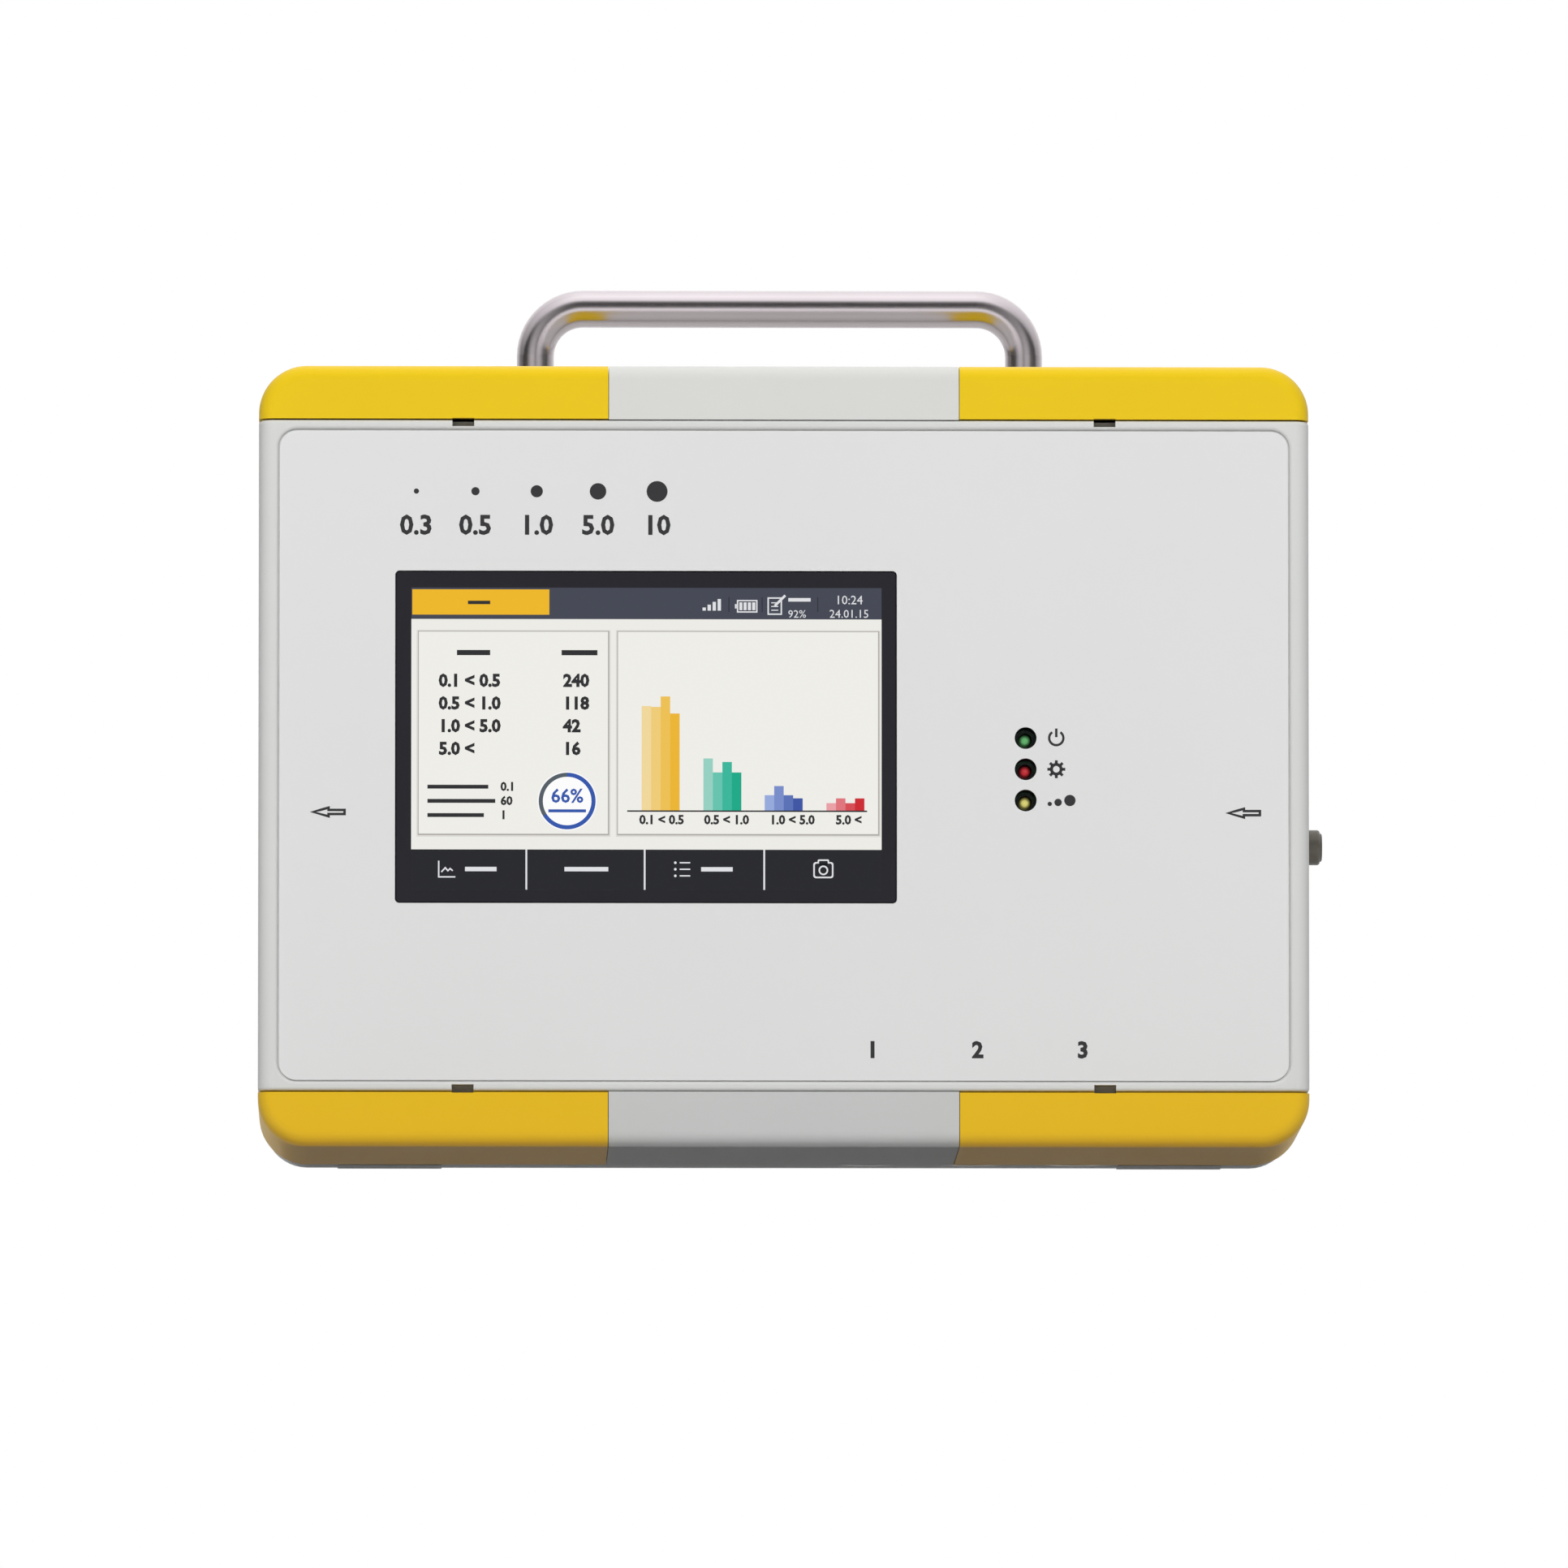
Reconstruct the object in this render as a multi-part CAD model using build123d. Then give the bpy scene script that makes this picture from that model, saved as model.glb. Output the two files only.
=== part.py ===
from build123d import *
from math import cos, radians
import os

# A wall or bench particle counter: a grey moulded case with a screwed front lid, four clip-on corner
# covers, a bow handle, an air inlet on the right, an exhaust vent on the left and three round
# connectors underneath.  Millimetres.  X to the right, Y to the back, Z up; the origin is the middle
# of the underside.

# ---------------------------------------------------------------- driving dimensions
# Case
case_width = 240
case_height = 179
case_depth = 90
corner_radius = 11
front_edge = 3.3
back_edge = 2.5
wall = 3
strip_height = 12.5
centre_width = 80
cover_set = 28
lid_depth = 22
base_step = 1
cavity_radius = 4
seam = 0.3
gasket_depth = 1.2
gasket_width = 1.4
rib_thickness = 2
foot_length = 24
foot_width = 12
foot_set = 8

# Corner covers
cover_wall = 2.2
tongue_width = 6
tongue_thickness = 1.6
tongue_inset = 14
pry_width = 5
pry_height = 1.6
pry_depth = 5
pry_inset = 46.7

# Lid, overlay and display window
border_side = 4.8
border_end = 2.6
overlay_radius = 4
overlay_thickness = 0.5
overlay_gap = 0.3
recess_depth = 1
rib_edge = 0.9
plate_thickness = 3
ear_gap = 2.8
window_width = 114.6
window_height = 76.2
window_x = -31.5
window_rise = 4.2
glass_gap = 0.2
glass_thickness = 2
glass_sink = 0.3
panel_thickness = 6
circuit_thickness = 1.6
display_board_width = 121
display_board_height = 97
board_hole_inset = 4
ribbon_offset = 11.5
ribbon_drop = 15.6
ribbon_width = 20
ribbon_thickness = 0.4
ribbon_sag = 14
ribbon_lead = 12
header_margin = 4
header_depth = 2.4
header_height = 4
display_chip = (26, 14, 1.4)

# Status lights
led_x = 55.2
led_rise = -3.1
led_pitch = 7.15
led_radius = 1.5
led_length = 4.2
led_bore = 2.5
led_rim = (0.35, 0.8)
sleeve_wall = 0.8
led_screw_step = 2.4

# Screws: (shank radius, head radius, head height)
lid_screw = (2, 3.5, 4)
small_screw = (1.2, 2.3, 1.6)
handle_screw = (2.4, 4.2, 3.2)
sensor_screw = (1.5, 2.75, 3)
small_reach = 4.4
key_flat = 1.5
screw_spare = 1.5
thread_fit = 0.05
hole_fit = 0.2
post_inset = 30
post_width = 12
pilot_depth = 14
mount_hole = 2.25
mount_inset = 15

# Handle
handle_span = 113
handle_radius = 4.3
handle_bend = 11
handle_height = 25.2
handle_set = 6
handle_thread = 12
washer_radius = 5
washer_thickness = 1

# Air inlet and exhaust vent
port_y = 8
port_z = 72.8
flange_radius = 6
flange_thickness = 1.2
seal_thickness = 0.8
inlet_radius = 4.05
inlet_length = 3.3
inlet_round = 0.65
thread_radius = 4
tube_bore = 2.05
collet_radius = 3.1
collet_head = 3.3
collet_head_length = 1.2
collet_stand = 0.5
collet_seat = 1.8
collet_length = 5.6
socket_depth = 9.2
port_nut = (5.5, 3)
barb_radius = 2.5
barb_length = 6
barb_step = 2.2
barb_ring = 1.6
thread_spare = 1
air_bore = 1.4
vent_hex = 6.5
vent_height = 2
vent_sink = 1.2
vent_disc = 4.2
vent_disc_depth = 1.2

# Connectors under the case
connector_x = 44.2
connector_pitch = 24
connector_gap = 0.1
connector_flange = 8
connector_flange_thickness = 0.8
connector_barrel = 6.9
connector_bore = 5.9
connector_depth = 7
connector_insert = 4.3
connector_tail = 4
connector_pin = 0.5
connector_circle = 2.6
contact_depth = 3
connector_nut = (8.6, 2.5)
boss_wall = 3

# Inside
standoff_length = 8
standoff_radius = 3
main_board_width = 130
main_board_height = 118
main_board_gap = 9
main_board_low = 23
# Components on the main board: x and z from its middle, width, height, thickness
main_parts = (
    (0, 6, 18, 18, 1.6),
    (-38, 10, 16, 12, 5),
    (40, -8, 12, 22, 7),
    (-30, -36, 30, 10, 9),
    (34, -42, 34, 8, 8),
)
capacitor = (4, 10)
capacitor_places = ((-12, 36), (-1, 36), (10, 36))
sensor_gap = 16
sensor_size = (52, 32, 44)
sensor_post = 3.5
sensor_reach = 10
pilot_spare = 2
laser_radius = 6
laser_length = 28
optics_seat = 10
lens_radius = 5
lens_thickness = 2
lens_curve = 13
lens_crown = 2
trap_length = 8
pit = (0.4, 6)
lip = 2
beam_hole = (2, 4)
mirror_radius = 8
mirror_thickness = 4
mirror_curve = 18
chamber_radius = 9
nozzle_gap = 5
nozzle_flange = 1.5
nozzle_barb = 4
detector_radius = 4.5
pump_gap = 12
pump_rise = 54
pump_head = (24, 30, 30)
pump_shift = 7
stub_rise = 8
port_stub = 6
motor_shaft = (3, 2)
plate_margin = 5
saddle = (8, 14, 20)
buffer_radius = 4.5
motor_radius = 12
motor_length = 32
filter_gap = 22
filter_rise = 32
filter_radius = 8
filter_length = 26
hose_radius = 3.2
battery_size = (70, 24, 38)
battery_gap = 16
sheet = 1.2

# ---------------------------------------------------------------- places that follow
front_y = -case_depth / 2
back_y = case_depth / 2
seam_y = front_y + lid_depth
cover_depth = case_depth - cover_set
cover_back = front_y + cover_depth
handle_y = cover_back + handle_set
foot_y = cover_back + foot_set
connector_y = cover_back + connector_barrel + boss_wall + connector_gap
middle_z = case_height / 2
post_x = case_width / 2 - post_inset
mount_x = case_width / 2 - mount_inset
pry_x = case_width / 2 - pry_inset
strip_z = case_height - strip_height
tub_top = case_height - base_step
pocket_top = tub_top - wall
pocket_middle = (strip_z + pocket_top) / 2
inner_x = case_width / 2 - base_step - wall
inner_z = strip_z - wall
inner_back = back_y - wall
tub_side = case_width / 2 - base_step
overlay_floor = front_y + recess_depth
overlay_width = case_width - 2 * border_side
overlay_height = case_height - 2 * (strip_height + border_end)
plate_back = overlay_floor + plate_thickness
glass_front = overlay_floor - overlay_thickness + glass_sink
glass_back = glass_front + glass_thickness
board_front = glass_back + panel_thickness
board_back = board_front + circuit_thickness
ear_front = front_y + cover_wall + ear_gap
middle_plane = Plane.XY.offset(middle_z)
floor_z = case_height - inner_z
gasket_inset = (wall - gasket_width) / 2
window_z = middle_z + window_rise
led_z = middle_z + led_rise
ribbon_x = window_x + ribbon_offset
ribbon_z = window_z - ribbon_drop
seal_face = tub_side + seal_thickness
flange_face = seal_face + flange_thickness
inlet_end = flange_face + inlet_length
port_thread_end = inner_x - port_nut[1] - thread_spare
barb_end = port_thread_end - barb_length
vent_seat = -tub_side + vent_sink
vent_face = vent_seat - vent_height
connector_seat = base_step + connector_flange_thickness
connector_end = base_step + connector_depth
main_back = inner_back - standoff_length
main_front = main_back - circuit_thickness
main_board_x = -inner_x + main_board_gap + main_board_width / 2
main_board_z = floor_z + main_board_low + main_board_height / 2
battery_x = -inner_x + battery_gap + battery_size[0] / 2
sensor_x = inner_x - sensor_gap - sensor_size[0] / 2
sensor_left = sensor_x - sensor_size[0] / 2
sensor_right = sensor_x + sensor_size[0] / 2
sensor_front = port_y - sensor_size[1] / 2
sensor_back = port_y + sensor_size[1] / 2
sensor_low = port_z - sensor_size[2] / 2
sensor_high = port_z + sensor_size[2] / 2
pump_right = inner_x - pump_gap - motor_length
pump_left = pump_right - pump_head[0]
pump_x = (pump_left + pump_right) / 2
motor_end = pump_right + motor_length
pump_z = port_z + pump_rise
pump_high = pump_z + pump_head[2] / 2
pump_back = port_y + pump_head[1] / 2 + pump_shift
pump_front = pump_back - pump_head[1]
motor_y = (pump_front + pump_back) / 2
filter_x = sensor_left - filter_gap
filter_z = port_z + filter_rise


# ---------------------------------------------------------------- shapes used again and again
def block(x, y, z):
    """Box that spans three (low, high) pairs."""
    spans = (x, y, z)
    centre = [(low + high) / 2 for low, high in spans]
    size = [high - low for low, high in spans]
    return Pos(*centre) * Box(*size)


def around(middle, width):
    """The (low, high) pair of a width about its middle."""
    return middle - width / 2, middle + width / 2


def rod_x(radius, x, y, z):
    return Pos(sum(x) / 2, y, z) * Rot(0, 90, 0) * Cylinder(radius, x[1] - x[0])


def rod_y(radius, x, y, z):
    return Pos(x, sum(y) / 2, z) * Rot(90, 0, 0) * Cylinder(radius, y[1] - y[0])


def rod_z(radius, x, y, z):
    return Pos(x, y, sum(z) / 2) * Cylinder(radius, z[1] - z[0])


def slab(outline, y):
    """Prism of an outline drawn in X and Z, from y[0] to y[1]."""
    return extrude(Plane.XZ.offset(-y[1]) * outline, y[1] - y[0])


def case_outline(inset):
    """The case's front view, drawn in by an inset."""
    width, height = case_width - 2 * inset, case_height - 2 * inset
    return Pos(0, middle_z) * RectangleRounded(width, height, corner_radius - inset)


def panel_outline(x, z, width, height, radius):
    return Pos(x, z) * RectangleRounded(width, height, radius)


def hexagon(flat, thickness):
    """Hexagonal prism along Z, with its lower face at zero; flat is half the width across flats."""
    return extrude(RegularPolygon(flat, 6, major_radius=False), thickness)


def both_ends(shape):
    """The shape and its mirror image in the case's middle height."""
    return shape + mirror(shape, about=middle_plane)


def both_sides(shape):
    """The shape and its mirror image in X."""
    return shape + mirror(shape, about=Plane.YZ)


def at_corners(shape):
    """The shape at all four corners of the case."""
    return both_sides(both_ends(shape))


def at_front(shape):
    """The edges that lie furthest to the front."""
    return shape.edges().group_by(Axis.Y)[0]


def hose(points, y):
    """Solid hose in the plane at y through (x, z) points, with the bend radii that come third."""
    corners = [(x, z) for x, z, _ in points]
    bends = [bend for _, _, bend in points[1:-1]]
    path = Plane.XZ.offset(-y) * FilletPolyline(*corners, radius=bends)
    return sweep(Plane(origin=path @ 0, z_dir=path % 0) * Circle(hose_radius), path=path)


def front_form():
    """The rounded front part of the case, which the lid, the strips and the covers share."""
    form = slab(case_outline(0), (front_y, cover_back))
    return fillet(at_front(form), front_edge)


# ---------------------------------------------------------------- case
def make_base(form):
    """Rear tub with the two centre strips, mounting channels, screw posts and inside bosses."""
    half_strip = centre_width / 2
    tub = slab(case_outline(base_step), (seam_y, back_y))
    tub = fillet(tub.edges().group_by(Axis.Y)[-1], back_edge)
    cover_space = block((half_strip, case_width), (front_y, cover_back), (strip_z, case_height + 1))
    tub -= at_corners(cover_space)
    strip = form & block(around(0, centre_width), (front_y, cover_back), (strip_z, case_height))
    tub += both_ends(strip)

    channel = slab(case_outline(base_step + wall), (front_y + wall, inner_back))
    channel &= block((-case_width, case_width), (front_y, back_y), (strip_z, case_height))
    tub -= both_ends(channel)
    tub -= slab(cavity_outline(0), (seam_y, inner_back))

    post = block(around(post_x, post_width), (seam_y, inner_back), (strip_z, pocket_top))
    post -= rod_y(lid_screw[0] + thread_fit, post_x, (seam_y, seam_y + pilot_depth), pocket_middle)
    tub += at_corners(post)
    for x in (centre_width * 0.3, centre_width * 0.9):
        rib = block(around(x, rib_thickness), (cover_back, inner_back), (strip_z, pocket_top))
        tub += at_corners(rib)
    foot = block(around(post_x, foot_length), around(foot_y, foot_width), (0, base_step + 1))
    tub += both_sides(foot)

    tub += connector_bosses()
    tub += sensor_posts()
    tub -= at_corners(rod_y(mount_hole, mount_x, (inner_back, back_y), pocket_middle))
    bolt = rod_z(handle_screw[0] + hole_fit, handle_span / 2, handle_y, (pocket_top, tub_top))
    tub -= both_sides(bolt)
    tub -= rod_x(thread_radius + hole_fit, (inner_x, tub_side), port_y, port_z)
    tub -= rod_x(thread_radius + hole_fit, (-tub_side, -inner_x), port_y, port_z)
    seat_radius = vent_hex / cos(radians(30)) + hole_fit
    tub -= rod_x(seat_radius, (-tub_side, vent_seat), port_y, port_z)
    for x in connector_places():
        tub -= rod_z(connector_barrel + hole_fit, x, connector_y, (base_step, floor_z))
        tub -= rod_z(connector_flange + hole_fit, x, connector_y, (base_step, connector_seat))
    tub -= gasket_ring(0, gasket_depth)
    return tub


def cavity_outline(inset):
    """The sealed space's front view."""
    width, height = 2 * (inner_x - inset), 2 * (inner_z - middle_z - inset)
    return Pos(0, middle_z) * RectangleRounded(width, height, max(cavity_radius - inset, 0.5))


def gasket_ring(clearance, depth):
    """Ring in the middle of the tub's rim, from the seam backwards."""
    outer = cavity_outline(-gasket_inset - gasket_width + clearance)
    inner = cavity_outline(-gasket_inset - clearance)
    return slab(outer - inner, (seam_y, seam_y + depth))


def connector_places():
    return [connector_x + step * connector_pitch for step in (-1, 0, 1)]


def connector_bosses():
    """Tubes that join the tub's outer and inner bottom walls round each connector."""
    bosses = Part()
    for x in connector_places():
        radius = connector_barrel + boss_wall
        bosses += rod_z(radius, x, connector_y, (case_height - pocket_top, case_height - strip_z))
    return bosses


def sensor_corners():
    """Screw places of the optical sensor, as (x, z)."""
    half_x = sensor_size[0] / 2 - sensor_post
    half_z = sensor_size[2] / 2 - sensor_post
    return [(sensor_x + i * half_x, port_z + j * half_z) for i in (-1, 1) for j in (-1, 1)]


def sensor_posts():
    """Posts on the rear wall that carry the optical sensor."""
    posts = Part()
    for x, z in sensor_corners():
        post = rod_y(sensor_post, x, (sensor_back, inner_back), z)
        pilot = (sensor_back, sensor_back + sensor_reach + pilot_spare)
        posts += post - rod_y(sensor_screw[0] + thread_fit, x, pilot, z)
    return posts


def make_lid(form):
    """Front lid with a raised border, the overlay's recess, the window and four screw ears."""
    half = seam / 2
    heights = (case_height - strip_z + half, strip_z - half)
    lid = form & block((-case_width, case_width), (front_y, seam_y), heights)
    lid = fillet(long_edges(lid, heights), rib_edge)
    recess = panel_outline(0, middle_z, overlay_width + 2 * overlay_gap,
                           overlay_height + 2 * overlay_gap, overlay_radius + overlay_gap)
    lid -= slab(recess, (front_y, overlay_floor))
    lid = fillet(rim_edges(lid), rib_edge)
    lid -= slab(cavity_outline(0), (plate_back, seam_y))

    ear = block(around(post_x, post_width), (ear_front, seam_y), (strip_z - wall, pocket_top))
    ear = fillet(ear.edges().filter_by(Axis.Y).group_by(Axis.Z)[-1], wall)
    lid += at_corners(ear)
    bore = rod_y(lid_screw[0] + hole_fit, post_x, (ear_front, seam_y), pocket_middle)
    sink = rod_y(lid_screw[1] + hole_fit, post_x, (ear_front, ear_front + lid_screw[2]), pocket_middle)
    lid -= at_corners(bore + sink)

    window = panel_outline(window_x, window_z, window_width, window_height, 1)
    lid -= slab(window, (overlay_floor, plate_back))
    for z in led_places():
        lid -= rod_y(led_bore + sleeve_wall + thread_fit, led_x, (overlay_floor, plate_back), z)
    for x, z in front_screw_places():
        boss = rod_y(standoff_radius, x, (plate_back, board_front), z)
        lid += boss - rod_y(small_screw[0] + thread_fit, x, (plate_back, board_front), z)
    lid -= at_corners(pry_slot())
    return lid


def long_edges(lid, heights):
    """The lid's straight front edges above and below."""
    front = at_front(lid).filter_by(Axis.X)
    return [edge for edge in front if min(abs(edge.center().Z - z) for z in heights) < 0.01]


def rim_edges(lid):
    """The front edges round the overlay's recess."""
    half_width = overlay_width / 2 + overlay_gap + 0.01
    half_height = overlay_height / 2 + overlay_gap + 0.01
    inside = []
    for edge in at_front(lid):
        middle = edge.center()
        if abs(middle.X) < half_width and abs(middle.Z - middle_z) < half_height:
            inside.append(edge)
    return inside


def pry_slot():
    """Screwdriver slot across the seam between the lid and a cover."""
    heights = (strip_z - pry_height, strip_z + seam)
    return block(around(pry_x, pry_width), (front_y, front_y + pry_depth), heights)


def make_gasket():
    return gasket_ring(thread_fit, gasket_depth)


def make_cover(form):
    """Upper right corner cover: a shell open at the back and towards the lid, with two tongues."""
    half = seam / 2
    left = centre_width / 2 + half
    low = strip_z + half
    space = block((left, case_width), (front_y, cover_back - half), (low, case_height + 1))
    cover = form & space
    hollow = slab(case_outline(cover_wall), (front_y + cover_wall, cover_back))
    hollow &= block((left + cover_wall, case_width), (front_y, back_y), (strip_z - 1, case_height))
    cover -= hollow
    middle_y = (seam_y + cover_back) / 2
    for x in (left + tongue_inset, post_x + tongue_inset):
        tongue = block(around(x, tongue_width), around(middle_y, tongue_thickness),
                       (low, case_height - cover_wall))
        cover += tongue
    return cover - pry_slot()


# ---------------------------------------------------------------- display and lights
def make_overlay():
    """Front foil with the display window and three light holes."""
    foil = panel_outline(0, middle_z, overlay_width, overlay_height, overlay_radius)
    foil -= panel_outline(window_x, window_z, window_width, window_height, 1)
    foil = slab(foil, (overlay_floor - overlay_thickness, overlay_floor))
    for z in led_places():
        foil -= rod_y(led_bore, led_x, (front_y, overlay_floor), z)
    return foil


def make_touch_glass():
    width, height = window_width - 2 * glass_gap, window_height - 2 * glass_gap
    glass = slab(panel_outline(window_x, window_z, width, height, 1 - glass_gap),
                 (glass_front, glass_back))
    return chamfer(at_front(glass), glass_gap)


def make_lcd_panel():
    width, height = window_width - 4 * glass_gap, window_height - 4 * glass_gap
    return block(around(window_x, width), (glass_back, board_front), around(window_z, height))


def display_holes():
    half_x = display_board_width / 2 - board_hole_inset
    half_z = display_board_height / 2 - board_hole_inset
    return [(window_x + i * half_x, window_z + j * half_z) for i in (-1, 1) for j in (-1, 1)]


def led_places():
    return [led_z + step * led_pitch for step in (-1, 0, 1)]


def led_holes():
    """Screw places above and below the row of lights."""
    return [(led_x, led_z + step * led_screw_step * led_pitch) for step in (-1, 1)]


def front_screw_places():
    return display_holes() + led_holes()


def make_display_board():
    """Display driver board with its ribbon header."""
    board = block(around(window_x, display_board_width), (board_front, board_back),
                  around(window_z, display_board_height))
    for x, z in display_holes():
        board -= rod_y(small_screw[0] + hole_fit, x, (board_front, board_back), z)
    header = block(around(ribbon_x, ribbon_width + header_margin), (board_back, board_back + header_depth),
                   around(ribbon_z, header_height))
    offset, side, height = display_chip
    chip = block(around(window_x - offset, side), (board_back, board_back + height), around(window_z, side))
    return board + header + chip


def make_led_board():
    width = 2 * (led_bore + sleeve_wall + standoff_radius)
    height = 2 * led_screw_step * led_pitch + 2 * standoff_radius
    board = block(around(led_x, width), (board_front, board_back), around(led_z, height))
    for x, z in led_holes():
        board -= rod_y(small_screw[0] + hole_fit, x, (board_front, board_back), z)
    return board


def make_led_shroud():
    """Dark spacer whose three sleeves line the light holes."""
    width = 2 * (led_bore + sleeve_wall + sleeve_wall)
    height = 2 * led_pitch + width
    shroud = block(around(led_x, width), (plate_back, board_front), around(led_z, height))
    for z in led_places():
        shroud += rod_y(led_bore + sleeve_wall, led_x, (overlay_floor, plate_back), z)
    for z in led_places():
        shroud -= rod_y(led_bore, led_x, (overlay_floor, board_front), z)
    return shroud


def make_led(z):
    """Domed light on its board."""
    tip = board_front - led_length
    body = rod_y(led_radius, led_x, (tip + led_radius, board_front), z)
    rim = rod_y(led_radius + led_rim[0], led_x, (board_front - led_rim[1], board_front), z)
    return body + Pos(led_x, tip + led_radius, z) * Sphere(led_radius) + rim


def make_front_screws():
    """Six screws that hold the display board and the light board to the lid."""
    screws = []
    for x, z in front_screw_places():
        shank = rod_y(small_screw[0], x, (board_front - small_reach, board_back), z)
        head = rod_y(small_screw[1], x, (board_back, board_back + small_screw[2]), z)
        screws.append(shank + head)
    return screws


def make_ribbon():
    """Flat cable from the display board to the main board, with a loose bow."""
    start, end = board_back + header_depth, main_front - header_depth
    middle = (start + end) / 2
    line = FilletPolyline((start, ribbon_z), (start + ribbon_lead, ribbon_z),
                          (middle, ribbon_z - ribbon_sag), (end - ribbon_lead, ribbon_z),
                          (end, ribbon_z), radius=ribbon_lead)
    path = Plane(origin=(ribbon_x, 0, 0), x_dir=(0, 1, 0), z_dir=(1, 0, 0)) * line
    section = Plane(origin=path @ 0, x_dir=(1, 0, 0), z_dir=(0, 1, 0))
    return sweep(section * Rectangle(ribbon_width, ribbon_thickness), path=path)


# ---------------------------------------------------------------- fasteners and handle
def make_lid_screws():
    """Four cap screws through the lid's ears."""
    radius, head_radius, head = lid_screw
    screws = []
    shoulder = ear_front + lid_screw[2]
    for i in (-1, 1):
        for j in (-1, 1):
            x, z = i * post_x, middle_z + j * (pocket_middle - middle_z)
            screw = rod_y(radius, x, (shoulder, seam_y + pilot_depth - screw_spare), z)
            screw += rod_y(head_radius, x, (shoulder - head, shoulder), z)
            key = Pos(x, shoulder - head, z) * Rot(-90, 0, 0) * hexagon(key_flat, head / 2)
            screws.append(screw - key)
    return screws


def make_handle():
    """Bow of round bar with a tapped hole in the end of each leg."""
    half = handle_span / 2
    rise = handle_height - handle_radius
    line = FilletPolyline((-half, 0), (-half, rise), (half, rise), (half, 0), radius=handle_bend)
    path = Plane.XZ.offset(-handle_y) * Pos(0, tub_top) * line
    bow = sweep(Plane(origin=path @ 0, z_dir=(0, 0, 1)) * Circle(handle_radius), path=path)
    hole = rod_z(handle_screw[0] + thread_fit, half, handle_y, (tub_top, tub_top + handle_thread))
    return bow - both_sides(hole)


def make_handle_screws():
    radius, head_radius, head = handle_screw
    under = pocket_top - washer_thickness
    screws = []
    for x in (-handle_span / 2, handle_span / 2):
        screw = rod_z(radius, x, handle_y, (under, tub_top + handle_thread - screw_spare))
        screw += rod_z(head_radius, x, handle_y, (under - head, under))
        key = Pos(x, handle_y, under - head) * hexagon(key_flat, head / 2)
        screws.append(screw - key)
    return screws


def make_handle_washers():
    washers = []
    for x in (-handle_span / 2, handle_span / 2):
        heights = (pocket_top - washer_thickness, pocket_top)
        ring = rod_z(washer_radius, x, handle_y, heights)
        washers.append(ring - rod_z(handle_screw[0] + hole_fit, x, handle_y, heights))
    return washers


# ---------------------------------------------------------------- air inlet and exhaust vent
def make_inlet_fitting():
    """Bulkhead push-in fitting: flange, thread, hose barb inside and a stepped socket for the collet."""
    body = rod_x(flange_radius, (seal_face, flange_face), port_y, port_z)
    nose = rod_x(inlet_radius, (flange_face, inlet_end), port_y, port_z)
    body += fillet(nose.edges().group_by(Axis.X)[-1], inlet_round)
    body += rod_x(thread_radius, (port_thread_end, seal_face), port_y, port_z)
    body += make_barb()
    body -= rod_x(collet_radius + thread_fit, (inlet_end - socket_depth, inlet_end), port_y, port_z)
    body -= rod_x(collet_head + thread_fit, (inlet_end - collet_seat, inlet_end), port_y, port_z)
    return body - rod_x(air_bore, (barb_end, inlet_end), port_y, port_z)


def make_barb():
    """Hose barb on the inner end of the right port: a stem with two tapered rings."""
    barb = rod_x(barb_radius - 0.4, (barb_end, port_thread_end), port_y, port_z)
    for step in (0, barb_step):
        ring = Cone(barb_radius, barb_radius - 0.6, barb_ring)
        barb += Pos(barb_end + step + barb_ring / 2, port_y, port_z) * Rot(0, -90, 0) * ring
    return barb


def make_inlet_collet():
    """Release collet: its head stands a little out of the fitting and can be pressed in."""
    end = inlet_end + collet_stand
    head_start = end - collet_head_length
    ring = rod_x(collet_radius, (end - collet_length, head_start), port_y, port_z)
    head = rod_x(collet_head, (head_start, end), port_y, port_z)
    ring += fillet(head.edges().group_by(Axis.X)[-1], collet_stand)
    return ring - rod_x(tube_bore, (end - collet_length, end), port_y, port_z)


def make_inlet_seal():
    ring = rod_x(flange_radius, (tub_side, seal_face), port_y, port_z)
    return ring - rod_x(thread_radius + hole_fit, (tub_side, seal_face), port_y, port_z)


def port_nut_at(start):
    """Hexagon nut on a port's thread, from the given X towards +X."""
    nut = Pos(start, port_y, port_z) * Rot(0, 90, 0) * hexagon(*port_nut)
    return nut - rod_x(thread_radius + thread_fit, (start, start + port_nut[1]), port_y, port_z)


def make_outlet_vent():
    """Hexagon-headed exhaust screw with a seat for the sintered disc and a hose barb inside."""
    body = Pos(vent_face, port_y, port_z) * Rot(0, 90, 0) * hexagon(vent_hex, vent_height)
    body += rod_x(thread_radius, (vent_seat, -port_thread_end), port_y, port_z)
    body += mirror(make_barb(), about=Plane.YZ)
    body -= rod_x(vent_disc, (vent_face, vent_face + vent_disc_depth), port_y, port_z)
    return body - rod_x(air_bore, (vent_face, -barb_end), port_y, port_z)


def make_vent_disc():
    """Sintered disc, a little below the face of the vent."""
    span = (vent_face + hole_fit, vent_face + vent_disc_depth)
    return rod_x(vent_disc - thread_fit, span, port_y, port_z)


# ---------------------------------------------------------------- connectors
def make_connector(x):
    """Round panel connector: flange, barrel with a socket, and a solder tail."""
    top = floor_z + connector_nut[1] + 1
    shell = rod_z(connector_flange, x, connector_y, (base_step, connector_seat))
    shell += rod_z(connector_barrel, x, connector_y, (connector_seat, top))
    shell += rod_z(connector_barrel - 2, x, connector_y, (top, top + connector_tail))
    return shell - rod_z(connector_bore, x, connector_y, (base_step, connector_end))


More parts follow.
